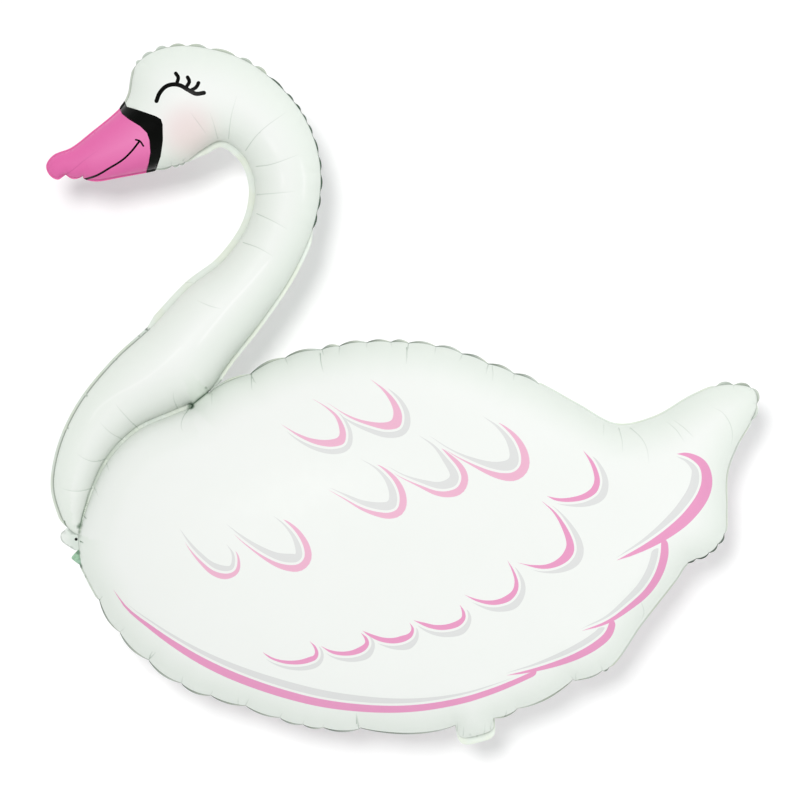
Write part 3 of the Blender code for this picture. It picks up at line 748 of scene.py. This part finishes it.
def line_polygon(points, width, taper=1.0):
    """A printed line with round ends that may grow narrower towards its last point."""
    curve = smooth_curve(on_plan(points, FACE_LIFT))
    count = max(5, round(along(curve)[-1] / FACE_STEP))
    line = sample(curve, np.linspace(0, 1, count))
    step = directions(line)
    half = width * PIXEL / 2 * np.linspace(1, taper, count)
    offset = leftward(line) * half[:, None]
    cap = np.arange(1, CAP_POINTS + 1) / (CAP_POINTS + 1)
    caps = []
    for centre, heading, radius in ((line[-1], step[-1], half[-1]), (line[0], -step[0], half[0])):
        turns = math.atan2(heading[1], heading[0]) + math.pi * (0.5 - cap)
        caps.append(ring(centre, radius, turns))
    return np.concatenate([line + offset, caps[0], (line - offset)[::-1], caps[1]])


def face_polygons():
    """The eye, lashes, smile, black band and beak."""
    lines = [(EYE_LINE, EYE_STROKE)]
    lines += [(lash, LASH_STROKE, LASH_TAPER) for lash in LASHES]
    lines += [(SMILE, SMILE_STROKE), (SMILE_END, SMILE_END_STROKE)]
    found = [(BLACK, line_polygon(*line)) for line in lines]
    for colour, corners in ((BLACK, BAND), (BEAK, BAND_INNER + BEAK_BEYOND)):
        found.append((colour, np.array(on_plan(corners, FACE_LIFT / 2))))
    return found


class Crease:
    """A fold line on the sheets, deepest at its start or, where it lies free, at its middle."""

    def __init__(self, points, depth, free):
        curve = smooth_curve(points) if len(points) > 2 else np.array(points)
        share = np.linspace(0, 1, max(3, round(along(curve)[-1] / LINE_STEP)))
        self.line = sample(curve, share)
        self.depth = depth * (np.sin(math.pi * share) if free else (1 - share) ** CREASE_FADING)

    def beside(self):
        """Rows of points along both sides of the line."""
        across = leftward(self.line)
        return np.concatenate([self.line + side * gap * across for gap in CREASE_ROWS for side in (-1, 1)])


def creases(lobes):
    """Every crease: the listed ones, one that runs in from each pucker, and flat ones along the painted
    highlights.
    """
    found = [Crease(on_plan(points), strength * SEAM_CREASE_DEPTH, False) for strength,
             points in SEAM_CREASES]
    found += [Crease(on_plan(points, FACE_LIFT), FREE_CREASE_DEPTH, True) for points in FREE_CREASES]
    draw = random.Random(CREASE_SEED)
    for lobe in lobes:
        for i, reach, strength in lobe.pucker_places:
            turn = draw.uniform(-CREASE_TURN, CREASE_TURN)
            if strength == NONE:
                continue
            x, y = inward = -lobe.outward[i]
            cos, sin = math.cos(turn), math.sin(turn)
            heading = np.array([x * cos - y * sin, x * sin + y * cos])
            longest = min(CREASE_LONGEST, CREASE_SHARE * reach)
            length = longest * (CREASE_LEAST + strength) * draw.uniform(*CREASE_LENGTHS)
            start = lobe.seam[i] + inward * ROW_DEPTHS[1]
            depth = PUCKER_CREASE_DEPTH * strength * min(1.0, reach / DEEP_REACH)
            found.append(Crease([start, start + heading * length], depth, False))
    return found + [Crease(on_plan(points, FACE_LIFT), 0.0, True) for _, _, points in PAINTED_HIGHLIGHTS]


def painted_highlight_field(plan):
    """How strongly the painted highlight lightens each point."""
    field = np.zeros(len(plan))
    for strength, width, points in PAINTED_HIGHLIGHTS:
        line = smooth_curve(on_plan(points, FACE_LIFT), steps=6)
        away = nearest_on(line, plan) / (width * PIXEL)
        ends = np.minimum(np.linalg.norm(plan - line[0], axis=1), np.linalg.norm(plan - line[-1], axis=1))
        fade = np.clip(HIGHLIGHT_END + ends / (HIGHLIGHT_FADE * PIXEL), 0, 1)
        field = np.maximum(field, strength * fade * np.exp(-away**2))
    return field


def tree_of(points):
    tree = KDTree(len(points))
    for i, (x, y) in enumerate(points):
        tree.insert((x, y, 0.0), i)
    tree.balance()
    return tree


def clear_of(points, tree, distance):
    """Those points that lie further than a distance from every point of a tree."""
    return points[np.array([tree.find((x, y, 0.0))[2] > distance for x, y in points], dtype=bool)]


def triangular_grid(low, high, step):
    """A grid of equal triangles over a rectangle."""
    rows = []
    for j, y in enumerate(np.arange(low[1], high[1], step * math.sqrt(3) / 2)):
        x = np.arange(low[0] + (j % 2) * step / 2, high[0], step)
        rows.append(np.stack([x, np.full(len(x), y)], axis=1))
    return np.concatenate(rows)


def turns_left(polygon):
    x, y = np.array(polygon).T
    return (x * np.roll(y, -1) - y * np.roll(x, -1)).sum() > 0


def row_points(lobes):
    """Rows of points along the seams, inside them and in the middle of the border, and their depths."""
    rows = []
    for lobe in lobes:
        middle = (lobe.seam + np.roll(lobe.seam, -1, axis=0)) / 2
        outward = lobe.outward + np.roll(lobe.outward, -1, axis=0)
        outward /= np.linalg.norm(outward, axis=1)[:, None]
        for k, depth in enumerate(ROW_DEPTHS):
            start, facing = (middle, outward) if k % 2 == 0 else (lobe.seam, lobe.outward)
            rows.append((start - facing * depth, depth))
        centre = lobe.seam + lobe.outward * lobe.widths[:, None] / 2
        rows.append((centre[lobe.widths > LEAST_SPLIT], LEAST_GAP))
    return rows


def triangulate(neck, body, prints, folds, grid_step, with_hole):
    """The balloon's plan as points, triangles, their finish, and which of them hold gas."""
    printed = [polygon for _, polygon in prints]
    polygons = [
        neck.seam,
        body.seam,
        border_polygon(neck, neck.first("neck_front"), neck.first("passage")),
        border_polygon(body, body.first("back"), body.first("tab_end")),
        weld_polygon(neck, body),
        tab_polygon(neck, body),
        pleat_polygon(body),
        circle(RIBBON_HOLE, RIBBON_HOLE_DIAMETER / 2, HOLE_SIDES),
        *printed,
    ]
    outline = np.concatenate([neck.seam, body.seam])
    seams = tree_of(outline)
    rows = row_points([neck, body])
    points = np.concatenate([clear_of(row, seams, ROW_CLEARANCE * depth) for row, depth in rows])
    lines = [fold.line for fold in folds]
    marks = tree_of(np.concatenate([*lines, *printed]))
    points = clear_of(points, marks, LEAST_GAP)
    taken = tree_of(np.concatenate([outline, points]))
    for row in [fold.beside() for fold in folds] + spot_points():
        points = np.concatenate([points, clear_of(clear_of(row, taken, LEAST_GAP), marks, LEAST_GAP)])
    near = tree_of(np.concatenate([outline, points]))
    grid = triangular_grid(outline.min(0), outline.max(0), grid_step)
    grid = clear_of(clear_of(grid, near, GRID_CLEARANCE * grid_step), marks, MARK_CLEARANCE * grid_step)
    inputs = [*points, *grid]
    edges, faces = [], []
    for line in lines:
        edges += [(len(inputs) + k, len(inputs) + k + 1) for k in range(len(line) - 1)]
        inputs += [*line]
    for polygon in polygons:
        faces.append(list(range(len(inputs), len(inputs) + len(polygon))))
        inputs += [*(polygon if turns_left(polygon) else polygon[::-1])]
    result = delaunay_2d_cdt([tuple(p) for p in inputs], edges, faces, 1, CLOSEST)
    triangles, kinds, filled = [], [], []
    for face, owners in zip(result[2], result[5]):
        if with_hole and HOLE in owners or min(owners, default=HOLE) >= HOLE:
            continue
        triangles.append(face)
        filled.append(NECK_GAS in owners or BODY_GAS in owners)
        kinds.append(kind_of({prints[k - HOLE - 1][0] for k in owners if k > HOLE}, owners, filled[-1]))
    return np.array([tuple(p) for p in result[0]]), np.array(triangles), np.array(kinds), np.array(filled)


def kind_of(colours, owners, is_filled):
    """Which finish a triangle has, from what is printed there and which part of the envelope it lies on."""
    found = [colour for colour in (BLACK, BEAK) if colour in colours]
    if is_filled:
        found += [colour for colour in (PINK, PALE_PINK, GREY) if colour in colours] + [WHITE]
    else:
        found += [kind for part, kind in FLAT_KINDS if part in owners] + [BORDER]
    return found[0]


def rim_edges(triangles):
    """Directed edges that only one of the triangles uses."""
    a = triangles.ravel()
    b = np.roll(triangles, -1, axis=1).ravel()
    count = triangles.max() + 1
    forward = a.astype(np.int64) * count + b
    backward = b.astype(np.int64) * count + a
    alone = ~np.isin(forward, backward)
    return np.stack([a[alone], b[alone]], axis=1)


def inflate(plan, filled):
    """How far the sheets stand off the seam plane: the root of the membrane equation's solution, limited.

    Conjugate gradients solve it on the filled triangles, with the rim held to the seam plane.
    """
    count = len(plan)
    corner = plan[filled]
    side = np.roll(corner, -1, axis=1) - np.roll(corner, -2, axis=1)
    area = 0.5 * np.abs(side[:, 0, 0] * side[:, 1, 1] - side[:, 0, 1] * side[:, 1, 0])
    area = np.maximum(area, LEAST_AREA)
    load = np.zeros(count)
    starts, ends, weights = [], [], []
    for k in range(3):
        load += np.bincount(filled[:, k], area / 3, count)
        a, b = (k + 1) % 3, (k + 2) % 3
        starts.append(filled[:, a])
        ends.append(filled[:, b])
        weights.append(-(side[:, a] * side[:, b]).sum(1) / (4 * area))
    i, j, w = np.concatenate(starts), np.concatenate(ends), np.concatenate(weights)
    free = np.zeros(count, bool)
    free[np.unique(filled)] = True
    free[np.unique(rim_edges(filled))] = False

    def apply(x):
        flow = w * (x[i] - x[j])
        return (np.bincount(i, flow, count) - np.bincount(j, flow, count)) * free

    scale = np.bincount(i, w, count) + np.bincount(j, w, count)
    scale = np.where(free, 1 / np.maximum(scale, LEAST_SCALE), 0.0)
    value = np.zeros(count)
    rest = load * free
    towards = scale * rest
    heading = towards.copy()
    worth = rest @ towards
    enough = worth * CLOSE_ENOUGH
    for _ in range(MOST_ROUNDS):
        pull = apply(heading)
        step = worth / (heading @ pull)
        value += step * heading
        rest -= step * pull
        towards = scale * rest
        worth, before = rest @ towards, worth
        if worth < enough:
            break
        heading = towards + heading * (worth / before)
    height = np.sqrt(2 * np.maximum(value, 0.0))
    tallest = BODY_THICKNESS / 2 - FOIL_THICKNESS / 2
    limit = 1 / tallest**2 - 1 / height.max() ** 2
    height[free] = 1 / np.sqrt(1 / np.maximum(height[free], LEAST_HEIGHT) ** 2 + limit)
    return height


class Rim:
    """What the nearest piece of seam says about each point of the plan."""

    def __init__(self, plan, lobes):
        seam = np.concatenate([lobe.seam for lobe in lobes])
        tree = tree_of(seam)
        nearest = [tree.find((x, y, 0.0)) for x, y in plan]
        index = np.array([n[1] for n in nearest])
        self.distance = np.array([n[2] for n in nearest])
        ring_steps = [np.roll(lobe.seam, -1, axis=0) - np.roll(lobe.seam, 1, axis=0) for lobe in lobes]
        step = np.concatenate(ring_steps)[index]
        offset = np.clip(2 * ((plan - seam[index]) * step).sum(1) / (step**2).sum(1), -0.5, 0.5)
        for name in LOOKS:
            parts = [lobe.looks[name] for lobe in lobes]
            slope = np.concatenate([(np.roll(part, -1) - np.roll(part, 1)) / 2 for part in parts])
            setattr(self, name, np.concatenate(parts)[index] + slope[index] * offset)


def crease_fields(plan, folds):
    """How far the creases lower each point, and how strongly painted shade darkens it in creases and spots.
    """
    lowered, marked = np.zeros((2, len(plan)))
    margin = 4 * CREASE_REACHES[1]
    for fold in folds:
        low, high = fold.line.min(0) - margin, fold.line.max(0) + margin
        near = np.nonzero(((plan > low) & (plan < high)).all(1))[0]
        run = np.diff(fold.line, axis=0)
        gap = plan[near][:, None] - fold.line[:-1]
        share = np.clip((gap * run).sum(2) / (run**2).sum(1), 0, 1)
        away = np.linalg.norm(gap - share[..., None] * run, axis=2)
        best = away.argmin(1)
        at_best = np.arange(len(near)), best
        depth = fold.depth[best] * (1 - share[at_best]) + fold.depth[best + 1] * share[at_best]
        off = away[at_best]
        sharp, soft = (np.exp(-off / reach) for reach in CREASE_REACHES)
        lowered[near] = np.maximum(lowered[near], depth * (sharp + soft) / 2)
        strength = depth / SEAM_CREASE_DEPTH
        marked[near] = np.maximum(marked[near], strength * np.clip(1 - off / MARK_REACH, 0, 1))
    for x, y, radius, strength in SHADE_SPOTS:
        off = np.linalg.norm(plan - at(x, y), axis=1) / (radius * PIXEL)
        marked = np.maximum(marked, strength * np.clip(SPOT_STEEPNESS * (1 - off), 0, 1))
    return lowered, marked


def nearest_on(line, plan):
    """How far each point lies from a line of straight steps."""
    best = np.full(len(plan), np.inf)
    for start, end in zip(line, line[1:]):
        run = end - start
        share = np.clip(((plan - start) * run).sum(1) / (run**2).sum(), 0, 1)
        best = np.minimum(best, np.linalg.norm(plan - start - share[:, None] * run, axis=1))
    return best


def pinched(plan, filled_height):
    """The sheet dips along the open passage between neck and body, and painted shade darkens it where it is
    pinched.
    """
    off = nearest_on(np.array([WELD_TOP, CROTCH]) * LENGTH, plan)
    height = filled_height * (1 - PASSAGE_PINCH * np.exp(-off / PASSAGE_REACH))
    from_weld = nearest_on(smooth_curve(list(np.array(WELD_LINE) * LENGTH), steps=6), plan)
    height *= 1 - WELD_DIP * np.exp(-from_weld / WELD_REACH)
    return height, PASSAGE_SHADE * np.clip(1 - off / (2 * MARK_REACH), 0, 1)


class Sheet:
    """One side of the envelope: its plan, each point's height over the seam plane, and how it looks."""

    def __init__(self, lobes, prints, folds, grid_step, with_hole):
        made = triangulate(*lobes, prints, folds, grid_step, with_hole)
        self.plan, self.triangles, self.kinds, filled = made
        gas = self.triangles[filled]
        height, dark = pinched(self.plan, inflate(self.plan, gas))
        rim = Rim(self.plan, lobes)
        lowered, marked = crease_fields(self.plan, folds)
        inside, on_rim, on_tab = np.zeros((3, len(self.plan)), bool)
        inside[gas] = True
        on_rim[rim_edges(gas)] = True
        on_tab[self.triangles[self.kinds == TAB]] = True
        fade = np.exp(-rim.distance / np.clip(SWELLING_SHARE * rim.reach, *SWELLING_REACHES))
        foot = np.clip(rim.distance / SWELLING_FOOT, 0, 1) ** 0.5
        swelling = SWELLING * rim.reach * (rim.swell - SWELLING_LEVEL) * fade * foot
        loose = np.clip(height / LOOSE_HEIGHT, 0, 1)
        height = np.maximum(height + (swelling - lowered) * loose, 0.0)
        self.height = np.where(inside & ~on_rim, height, 0.0)
        outer = np.where(inside, 0.0, np.clip(rim.distance / np.maximum(rim.widths, NARROWEST), 0, 1))
        curl = np.where(inside, 0.0, rim.curl * outer**CURL_POWER)
        self.shift = rim.wave * np.exp(-rim.distance / WAVE_REACH) + curl
        # painted shade along the border's cut edge, stronger where the border has more painted shade
        shaded = outer * np.clip(EDGE_SHADES[0] + EDGE_SHADES[1] * rim.shade, 0, 1)
        # painted shade along the tab's free edge
        tab_edge = np.clip(TAB_EDGE_SHADE - nearest_on(on_plan(TAB_TURN), self.plan) / TAB_EDGE, 0, 1)
        from_blush = np.linalg.norm(self.plan - at(*BLUSH_CENTRE, FACE_LIFT), axis=1) / (BLUSH_RADIUS * PIXEL)
        self.looks = {
            # edge_distance sets the painted shade towards the seams
            "edge_distance": np.where(inside, np.maximum(rim.distance, WELD_CLEAR * rim.welded), 0.0),
            # crease: painted shade in creases, dark spots and the pinched passage
            "crease": np.maximum(marked, dark),
            # shade: painted shade on the welded border
            "shade": rim.shade,
            # painted shade along the seam
            "seam_line": np.where(on_rim, rim.line, 0.0),
            # border_share: painted shade along the cut edges
            "border_share": np.where(on_tab & ~inside, tab_edge, shaded),
            "blush": np.exp(-from_blush**3),
            # painted highlight lines on the neck and nape
            "gleam": painted_highlight_field(self.plan),
        }


def envelope(lobes, prints, folds):
    """Both sheets and the rim between them as one closed mesh, resting on the floor."""
    place = place_of(lobes)
    points, triangles, kinds, rims, looks = [], [], [], [], []
    start = 0
    for side, grid_step in ((1, FRONT_GRID), (-1, BACK_GRID)):
        sheet = Sheet(lobes, prints, folds, grid_step, side > 0)
        used, faces = np.unique(sheet.triangles, return_inverse=True)
        triangles.append(faces.reshape(-1, 3)[:, ::side] + start)
        z = SEAM_PLANE + sheet.shift + side * (FOIL_THICKNESS / 2 + sheet.height)
        points.append(np.column_stack([sheet.plan + place, np.maximum(z, 0.0)])[used])
        kinds.append(sheet.kinds)
        rims.append(rim_edges(triangles[-1]))
        looks.append({key: values[used] for key, values in sheet.looks.items()})
        start += len(used)
    points = np.concatenate(points)
    from_hole = np.linalg.norm(points[rims[0][:, 0], :2] - (np.array(RIBBON_HOLE) + place), axis=1)
    at_hole = from_hole < RIBBON_HOLE_DIAMETER
    walls = rim_wall(points, rims[0][~at_hole], rims[1])
    bottom, pocket = ribbon_pocket(points, rims[0][at_hole])
    points = np.concatenate([points, bottom])
    triangles = np.concatenate([*triangles, walls, pocket])
    # the pocket's black is painted shade inside the ribbon hole
    kinds = np.concatenate([*kinds, np.full(len(walls), BORDER), np.full(len(pocket), BLACK)])
    tables = {key: np.concatenate([looks[0][key], looks[1][key], np.zeros(len(bottom))]) for key in looks[0]}
    return points, triangles, kinds, tables


def place_of(lobes):
    """The shift from the plan to the frame."""
    outline = np.concatenate([lobe.edge for lobe in lobes])
    middle = (outline.min(0) + outline.max(0)) / 2
    return np.array([LOW[0] + HIGH[0], LOW[1] + HIGH[1]]) / 2 - middle


def rim_wall(points, front_rim, back_rim):
    """The cut edge of the foil, between the front sheet's rim and the back sheet's."""
    tree = tree_of(points[back_rim[:, 0], :2])
    twin = {a: back_rim[tree.find((*points[a, :2], 0.0))[1], 0] for a in front_rim[:, 0]}
    return np.array([(b, a, twin[a]) for a, b in front_rim] + [(b, twin[a], twin[b]) for a, b in front_rim])


def ribbon_pocket(points, rim):
    """The ribbon hole is punched through the front foil; a shallow black pocket under it is painted shade
    inside the hole.
    """
    start = len(points)
    middle = start + len(rim)
    below = {a: start + k for k, a in enumerate(rim[:, 0])}
    bottom = points[rim[:, 0]] - np.array([0, 0, POCKET_DEPTH])
    pocket = []
    for a, b in rim:
        pocket += [(b, a, below[a]), (b, below[a], below[b]), (below[b], below[a], middle)]
    return np.concatenate([bottom, bottom.mean(0, keepdims=True)]), np.array(pocket)


def build_mesh(name, points, triangles, kinds, tables, materials):
    mesh = bpy.data.meshes.new(name)
    mesh.from_pydata(points.tolist(), [], triangles.tolist())
    for material in materials:
        mesh.materials.append(material)
    mesh.polygons.foreach_set("material_index", kinds.astype(np.int32))
    mesh.validate()
    for key, values in tables.items():
        mesh.attributes.new(key, "FLOAT", "POINT").data.foreach_set("value", values.astype(np.float32))
    mesh.shade_smooth()
    mesh.set_sharp_from_angle(angle=math.radians(SHARP_ANGLE))
    piece = bpy.data.objects.new(name, mesh)
    bpy.context.scene.collection.objects.link(piece)
    return piece


class Nodes:
    """Adds nodes to a tree. A socket takes a value or another node's output."""

    def __init__(self, tree):
        self.tree = tree

    def feed(self, node, sockets):
        for key, value in sockets.items():
            if isinstance(value, bpy.types.NodeSocket):
                self.tree.links.new(value, node.inputs[key])
            else:
                node.inputs[key].default_value = value

    def add(self, kind, sockets=None, **settings):
        node = self.tree.nodes.new(kind)
        for key, value in settings.items():
            setattr(node, key, value)
        self.feed(node, sockets or {})
        return node

    def span(self, value, low, high, to_low=0.0, to_high=1.0, smooth=True):
        sockets = {"Value": value, "From Min": low, "From Max": high, "To Min": to_low, "To Max": to_high}
        steps = "SMOOTHSTEP" if smooth else "LINEAR"
        return self.add("ShaderNodeMapRange", sockets, interpolation_type=steps).outputs["Result"]


class Finish(Nodes):
    """A procedural material with a few helpers to wire it."""

    def __init__(self, name, sockets):
        self.material = bpy.data.materials.new(name)
        self.material.use_nodes = True
        super().__init__(self.material.node_tree)
        self.shader = self.tree.nodes["Principled BSDF"]
        self.feed(self.shader, sockets)
        self.place = self.add("ShaderNodeTexCoord").outputs["Object"]

    def field(self, name):
        return self.add("ShaderNodeAttribute", attribute_name=name).outputs["Fac"]

    def noise(self, scale, detail=3.0, distortion=0.0):
        sockets = {"Scale": scale, "Detail": detail, "Distortion": distortion, "Vector": self.place}
        return self.add("ShaderNodeTexNoise", sockets).outputs["Fac"]

    def mix(self, factor, a, b):
        a, b = ((*colour, 1.0) if isinstance(colour, tuple) else colour for colour in (a, b))
        return self.add("ShaderNodeMix", {0: factor, 6: a, 7: b}, data_type="RGBA").outputs[2]

    def tint(self, colour, field, towards, most, low=0.0, high=1.0):
        """Mixes a colour towards another, not at all where a field is low and most where it is high."""
        return self.mix(self.span(self.field(field), low, high, 0.0, most, smooth=False), colour, towards)

    def dress(self, colour, low, high, scale, *bumps):
        """Wires colour, roughness from low to high, and bumps: height, metres and strength of each."""
        roughness = self.span(self.noise(scale), 0.3, 0.7, low, high)
        normal = {}
        for height, distance, strength in bumps:
            sockets = {"Height": height, "Distance": distance, "Strength": strength, **normal}
            normal = {"Normal": self.add("ShaderNodeBump", sockets).outputs["Normal"]}
        self.feed(self.shader, {"Base Color": colour, "Roughness": roughness, **normal})
        return self.material


def sheet_finish(name, centre, rim, roughness, fold=FOLD_SHADE):
    """Print on foil: a satin colour with painted shade towards the seams, in the folds and along the seam,
    and on the white foil a printed blush and a painted highlight.
    """
    finish = Finish(name, {"Roughness": roughness, "Specular IOR Level": PRINT_GLOSS, "Coat Weight": COAT,
                           "Coat Roughness": COAT_ROUGHNESS})
    # painted shade: the rim colour darkens the foil towards the seams
    colour = finish.mix(finish.span(finish.field("edge_distance"), 0.0, SEAM_SHADE_REACH), rim, centre)
    colour = finish.mix(finish.span(finish.noise(*MOTTLE), 0.35, 0.75, 0.0, 0.08), colour, rim)
    if name == "pearl_foil":
        colour = finish.tint(colour, "blush", BLUSH, BLUSH_MOST)
        # painted highlight along lines on the neck and nape
        colour = finish.tint(colour, "gleam", HIGHLIGHT_COLOUR, HIGHLIGHT_MOST)
    # painted shade in creases and pinches, deepest in the strongest
    colour = finish.tint(colour, "crease", fold, *FOLD_SPAN)
    colour = finish.tint(colour, "crease", DEEP_SHADE, *DEEP_SPAN)
    # painted shade along the seam
    colour = finish.tint(colour, "seam_line", fold, SEAM_SHADE_MOST)
    return finish.dress(colour, roughness - 0.05, roughness + 0.07, 60,
                        (finish.noise(*RIPPLE), 0.0010, 0.03), (finish.noise(*GRAIN), 0.0001, 0.08))


def border_finish(name, light, warm, dark, roughness, metallic=0.0):
    """Bare welded foil, crinkled by the heat of the weld, with painted shade where its shade field says,
    along its cut edge, in creases and along the seam.
    """
    finish = Finish(name, {"Roughness": roughness, "Metallic": metallic, "Specular IOR Level": BORDER_GLOSS})
    colour = finish.mix(finish.span(finish.noise(*PATCHES), 0.4, 0.6), light, warm)
    # painted shade on the border, and along its cut edge
    colour = finish.mix(finish.field("shade"), colour, dark)
    colour = finish.mix(finish.span(finish.field("border_share"), 0.70, 1.0, 0.0, 0.35), colour, dark)
    colour = finish.tint(colour, "crease", dark, *BORDER_SPAN)
    # painted shade along the seam
    colour = finish.tint(colour, "seam_line", dark, SEAM_SHADE_MOST)
    return finish.dress(colour, roughness - 0.08, roughness + 0.1, 180,
                        (finish.noise(*CRINKLE), 0.0006, 0.25), (finish.noise(*BORDER_GRAIN), 0.0001, 0.2))


def materials():
    """The finishes, in the order of their numbers."""
    return [
        # each print: its own colour, the colour of its painted shade towards the seams, and for some the
        # colour of its painted shade in creases
        sheet_finish("pearl_foil", (0.865, 0.89, 0.86), (0.78, 0.835, 0.772), 0.42),
        sheet_finish("pink_print", (0.80, 0.335, 0.55), (0.75, 0.31, 0.52), 0.36, (0.35, 0.12, 0.22)),
        sheet_finish("pale_pink_print", (0.83, 0.465, 0.615), (0.78, 0.44, 0.58), 0.36, (0.35, 0.15, 0.24)),
        sheet_finish("grey_print", (0.722, 0.732, 0.724), (0.67, 0.70, 0.675), 0.36),
        sheet_finish("beak_print", (0.84, 0.245, 0.505), (0.76, 0.15, 0.40), 0.32, (0.36, 0.05, 0.17)),
        sheet_finish("black_print", (0.0018, 0.0020, 0.0016), (0.003, 0.004, 0.003), 0.30,
                     (0.01, 0.012, 0.01)),
        border_finish("border_foil", (0.80, 0.855, 0.795), (0.80, 0.85, 0.75), DEEP_SHADE, 0.40),
        # the weld strip: the foil's own pale colour, lifted by painted light against the shade of the groove
        border_finish("weld_foil", (0.90, 0.94, 0.89), (0.88, 0.92, 0.84), FOLD_SHADE, 0.40),
        # the folded corner: the foil's green tone, deepened by painted shade in the fold
        border_finish("pleat_foil", (0.29, 0.46, 0.35), (0.26, 0.44, 0.30), (0.08, 0.16, 0.10), 0.32, 0.15),
        # the tab: the foil's own pale colour, lifted by painted light against the shade between neck and body
        border_finish("tab_foil", (0.94, 0.98, 0.94), (0.83, 0.90, 0.84), DEEP_SHADE, 0.36),
    ]


def swan(lobes):
    prints = face_polygons()
    for k, feather in enumerate(FEATHERS):
        pink = PALE_PINK if k < PALE_FEATHERS else PINK
        strokes = feather_polygons(*feather)
        prints += [(pink if colour == PINK else colour, polygon) for colour, polygon in strokes]
    for arc in ARCS:
        prints += arc_polygons(*arc)
    piece = build_mesh("inflated_envelope", *envelope(lobes, prints, creases(lobes)), materials())
    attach(piece, "root")
    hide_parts("foil_envelope")


def floor():
    """A pale floor that glows a little, like a backlit table."""
    bpy.ops.mesh.primitive_plane_add(size=FLOOR_SIZE, location=(0, 0, -FLOOR_GAP))
    piece = bpy.context.object
    piece.name = "floor"
    finish = Finish("pale_floor", {"Roughness": 0.9, "Specular IOR Level": 0.0, "Base Color": FLOOR_COLOUR,
                                   "Emission Color": (1, 1, 1, 1), "Emission Strength": FLOOR_GLOW})
    piece.data.materials.append(finish.material)


def lights():
    """A soft key light from above and a bright surround, brighter at the horizon and on the right."""
    key = bpy.data.lights.new("key", "SUN")
    key.energy = KEY_POWER
    key.angle = math.radians(KEY_ANGLE)
    key.color = KEY_COLOUR
    lamp = bpy.data.objects.new("key", key)
    lamp.rotation_euler = [math.radians(turn) for turn in KEY_TURN]
    bpy.context.scene.collection.objects.link(lamp)
    world = bpy.data.worlds.new("studio")
    world.use_nodes = True
    bpy.context.scene.world = world
    nodes = Nodes(world.node_tree)
    place = nodes.add("ShaderNodeTexCoord").outputs["Generated"]
    factors = {}
    slopes = ((UP, 0.0, HORIZON, ZENITH), (BRIGHT_SIDE, -1.0, DIM, BRIGHT))
    for k, (axis, from_low, low, high) in enumerate(slopes):
        across = nodes.add("ShaderNodeVectorMath", {0: place, 1: axis}, operation="DOT_PRODUCT")
        factors[k] = nodes.span(across.outputs["Value"], from_low, 1.0, low, high, smooth=False)
    strength = nodes.add("ShaderNodeMath", factors, operation="MULTIPLY").outputs["Value"]
    nodes.feed(world.node_tree.nodes["Background"], {"Color": SKY, "Strength": strength})
    bpy.context.scene.view_settings.view_transform = "Standard"


def camera(place):
    data = bpy.data.cameras.new("camera")
    data.lens = LENS
    data.sensor_width = SENSOR
    data.clip_end = FARTHEST
    piece = bpy.data.objects.new("camera", data)
    piece.location = (*(at(FRAME_CENTRE, FRAME_CENTRE) + place), SEAM_PLANE + CAMERA_DISTANCE)
    bpy.context.scene.collection.objects.link(piece)
    bpy.context.scene.camera = piece


both_lobes = (Lobe(neck_and_head(), NECK_SEED), Lobe(body_and_tail(), BODY_SEED))
camera(place_of(both_lobes))
floor()
lights()
swan(both_lobes)
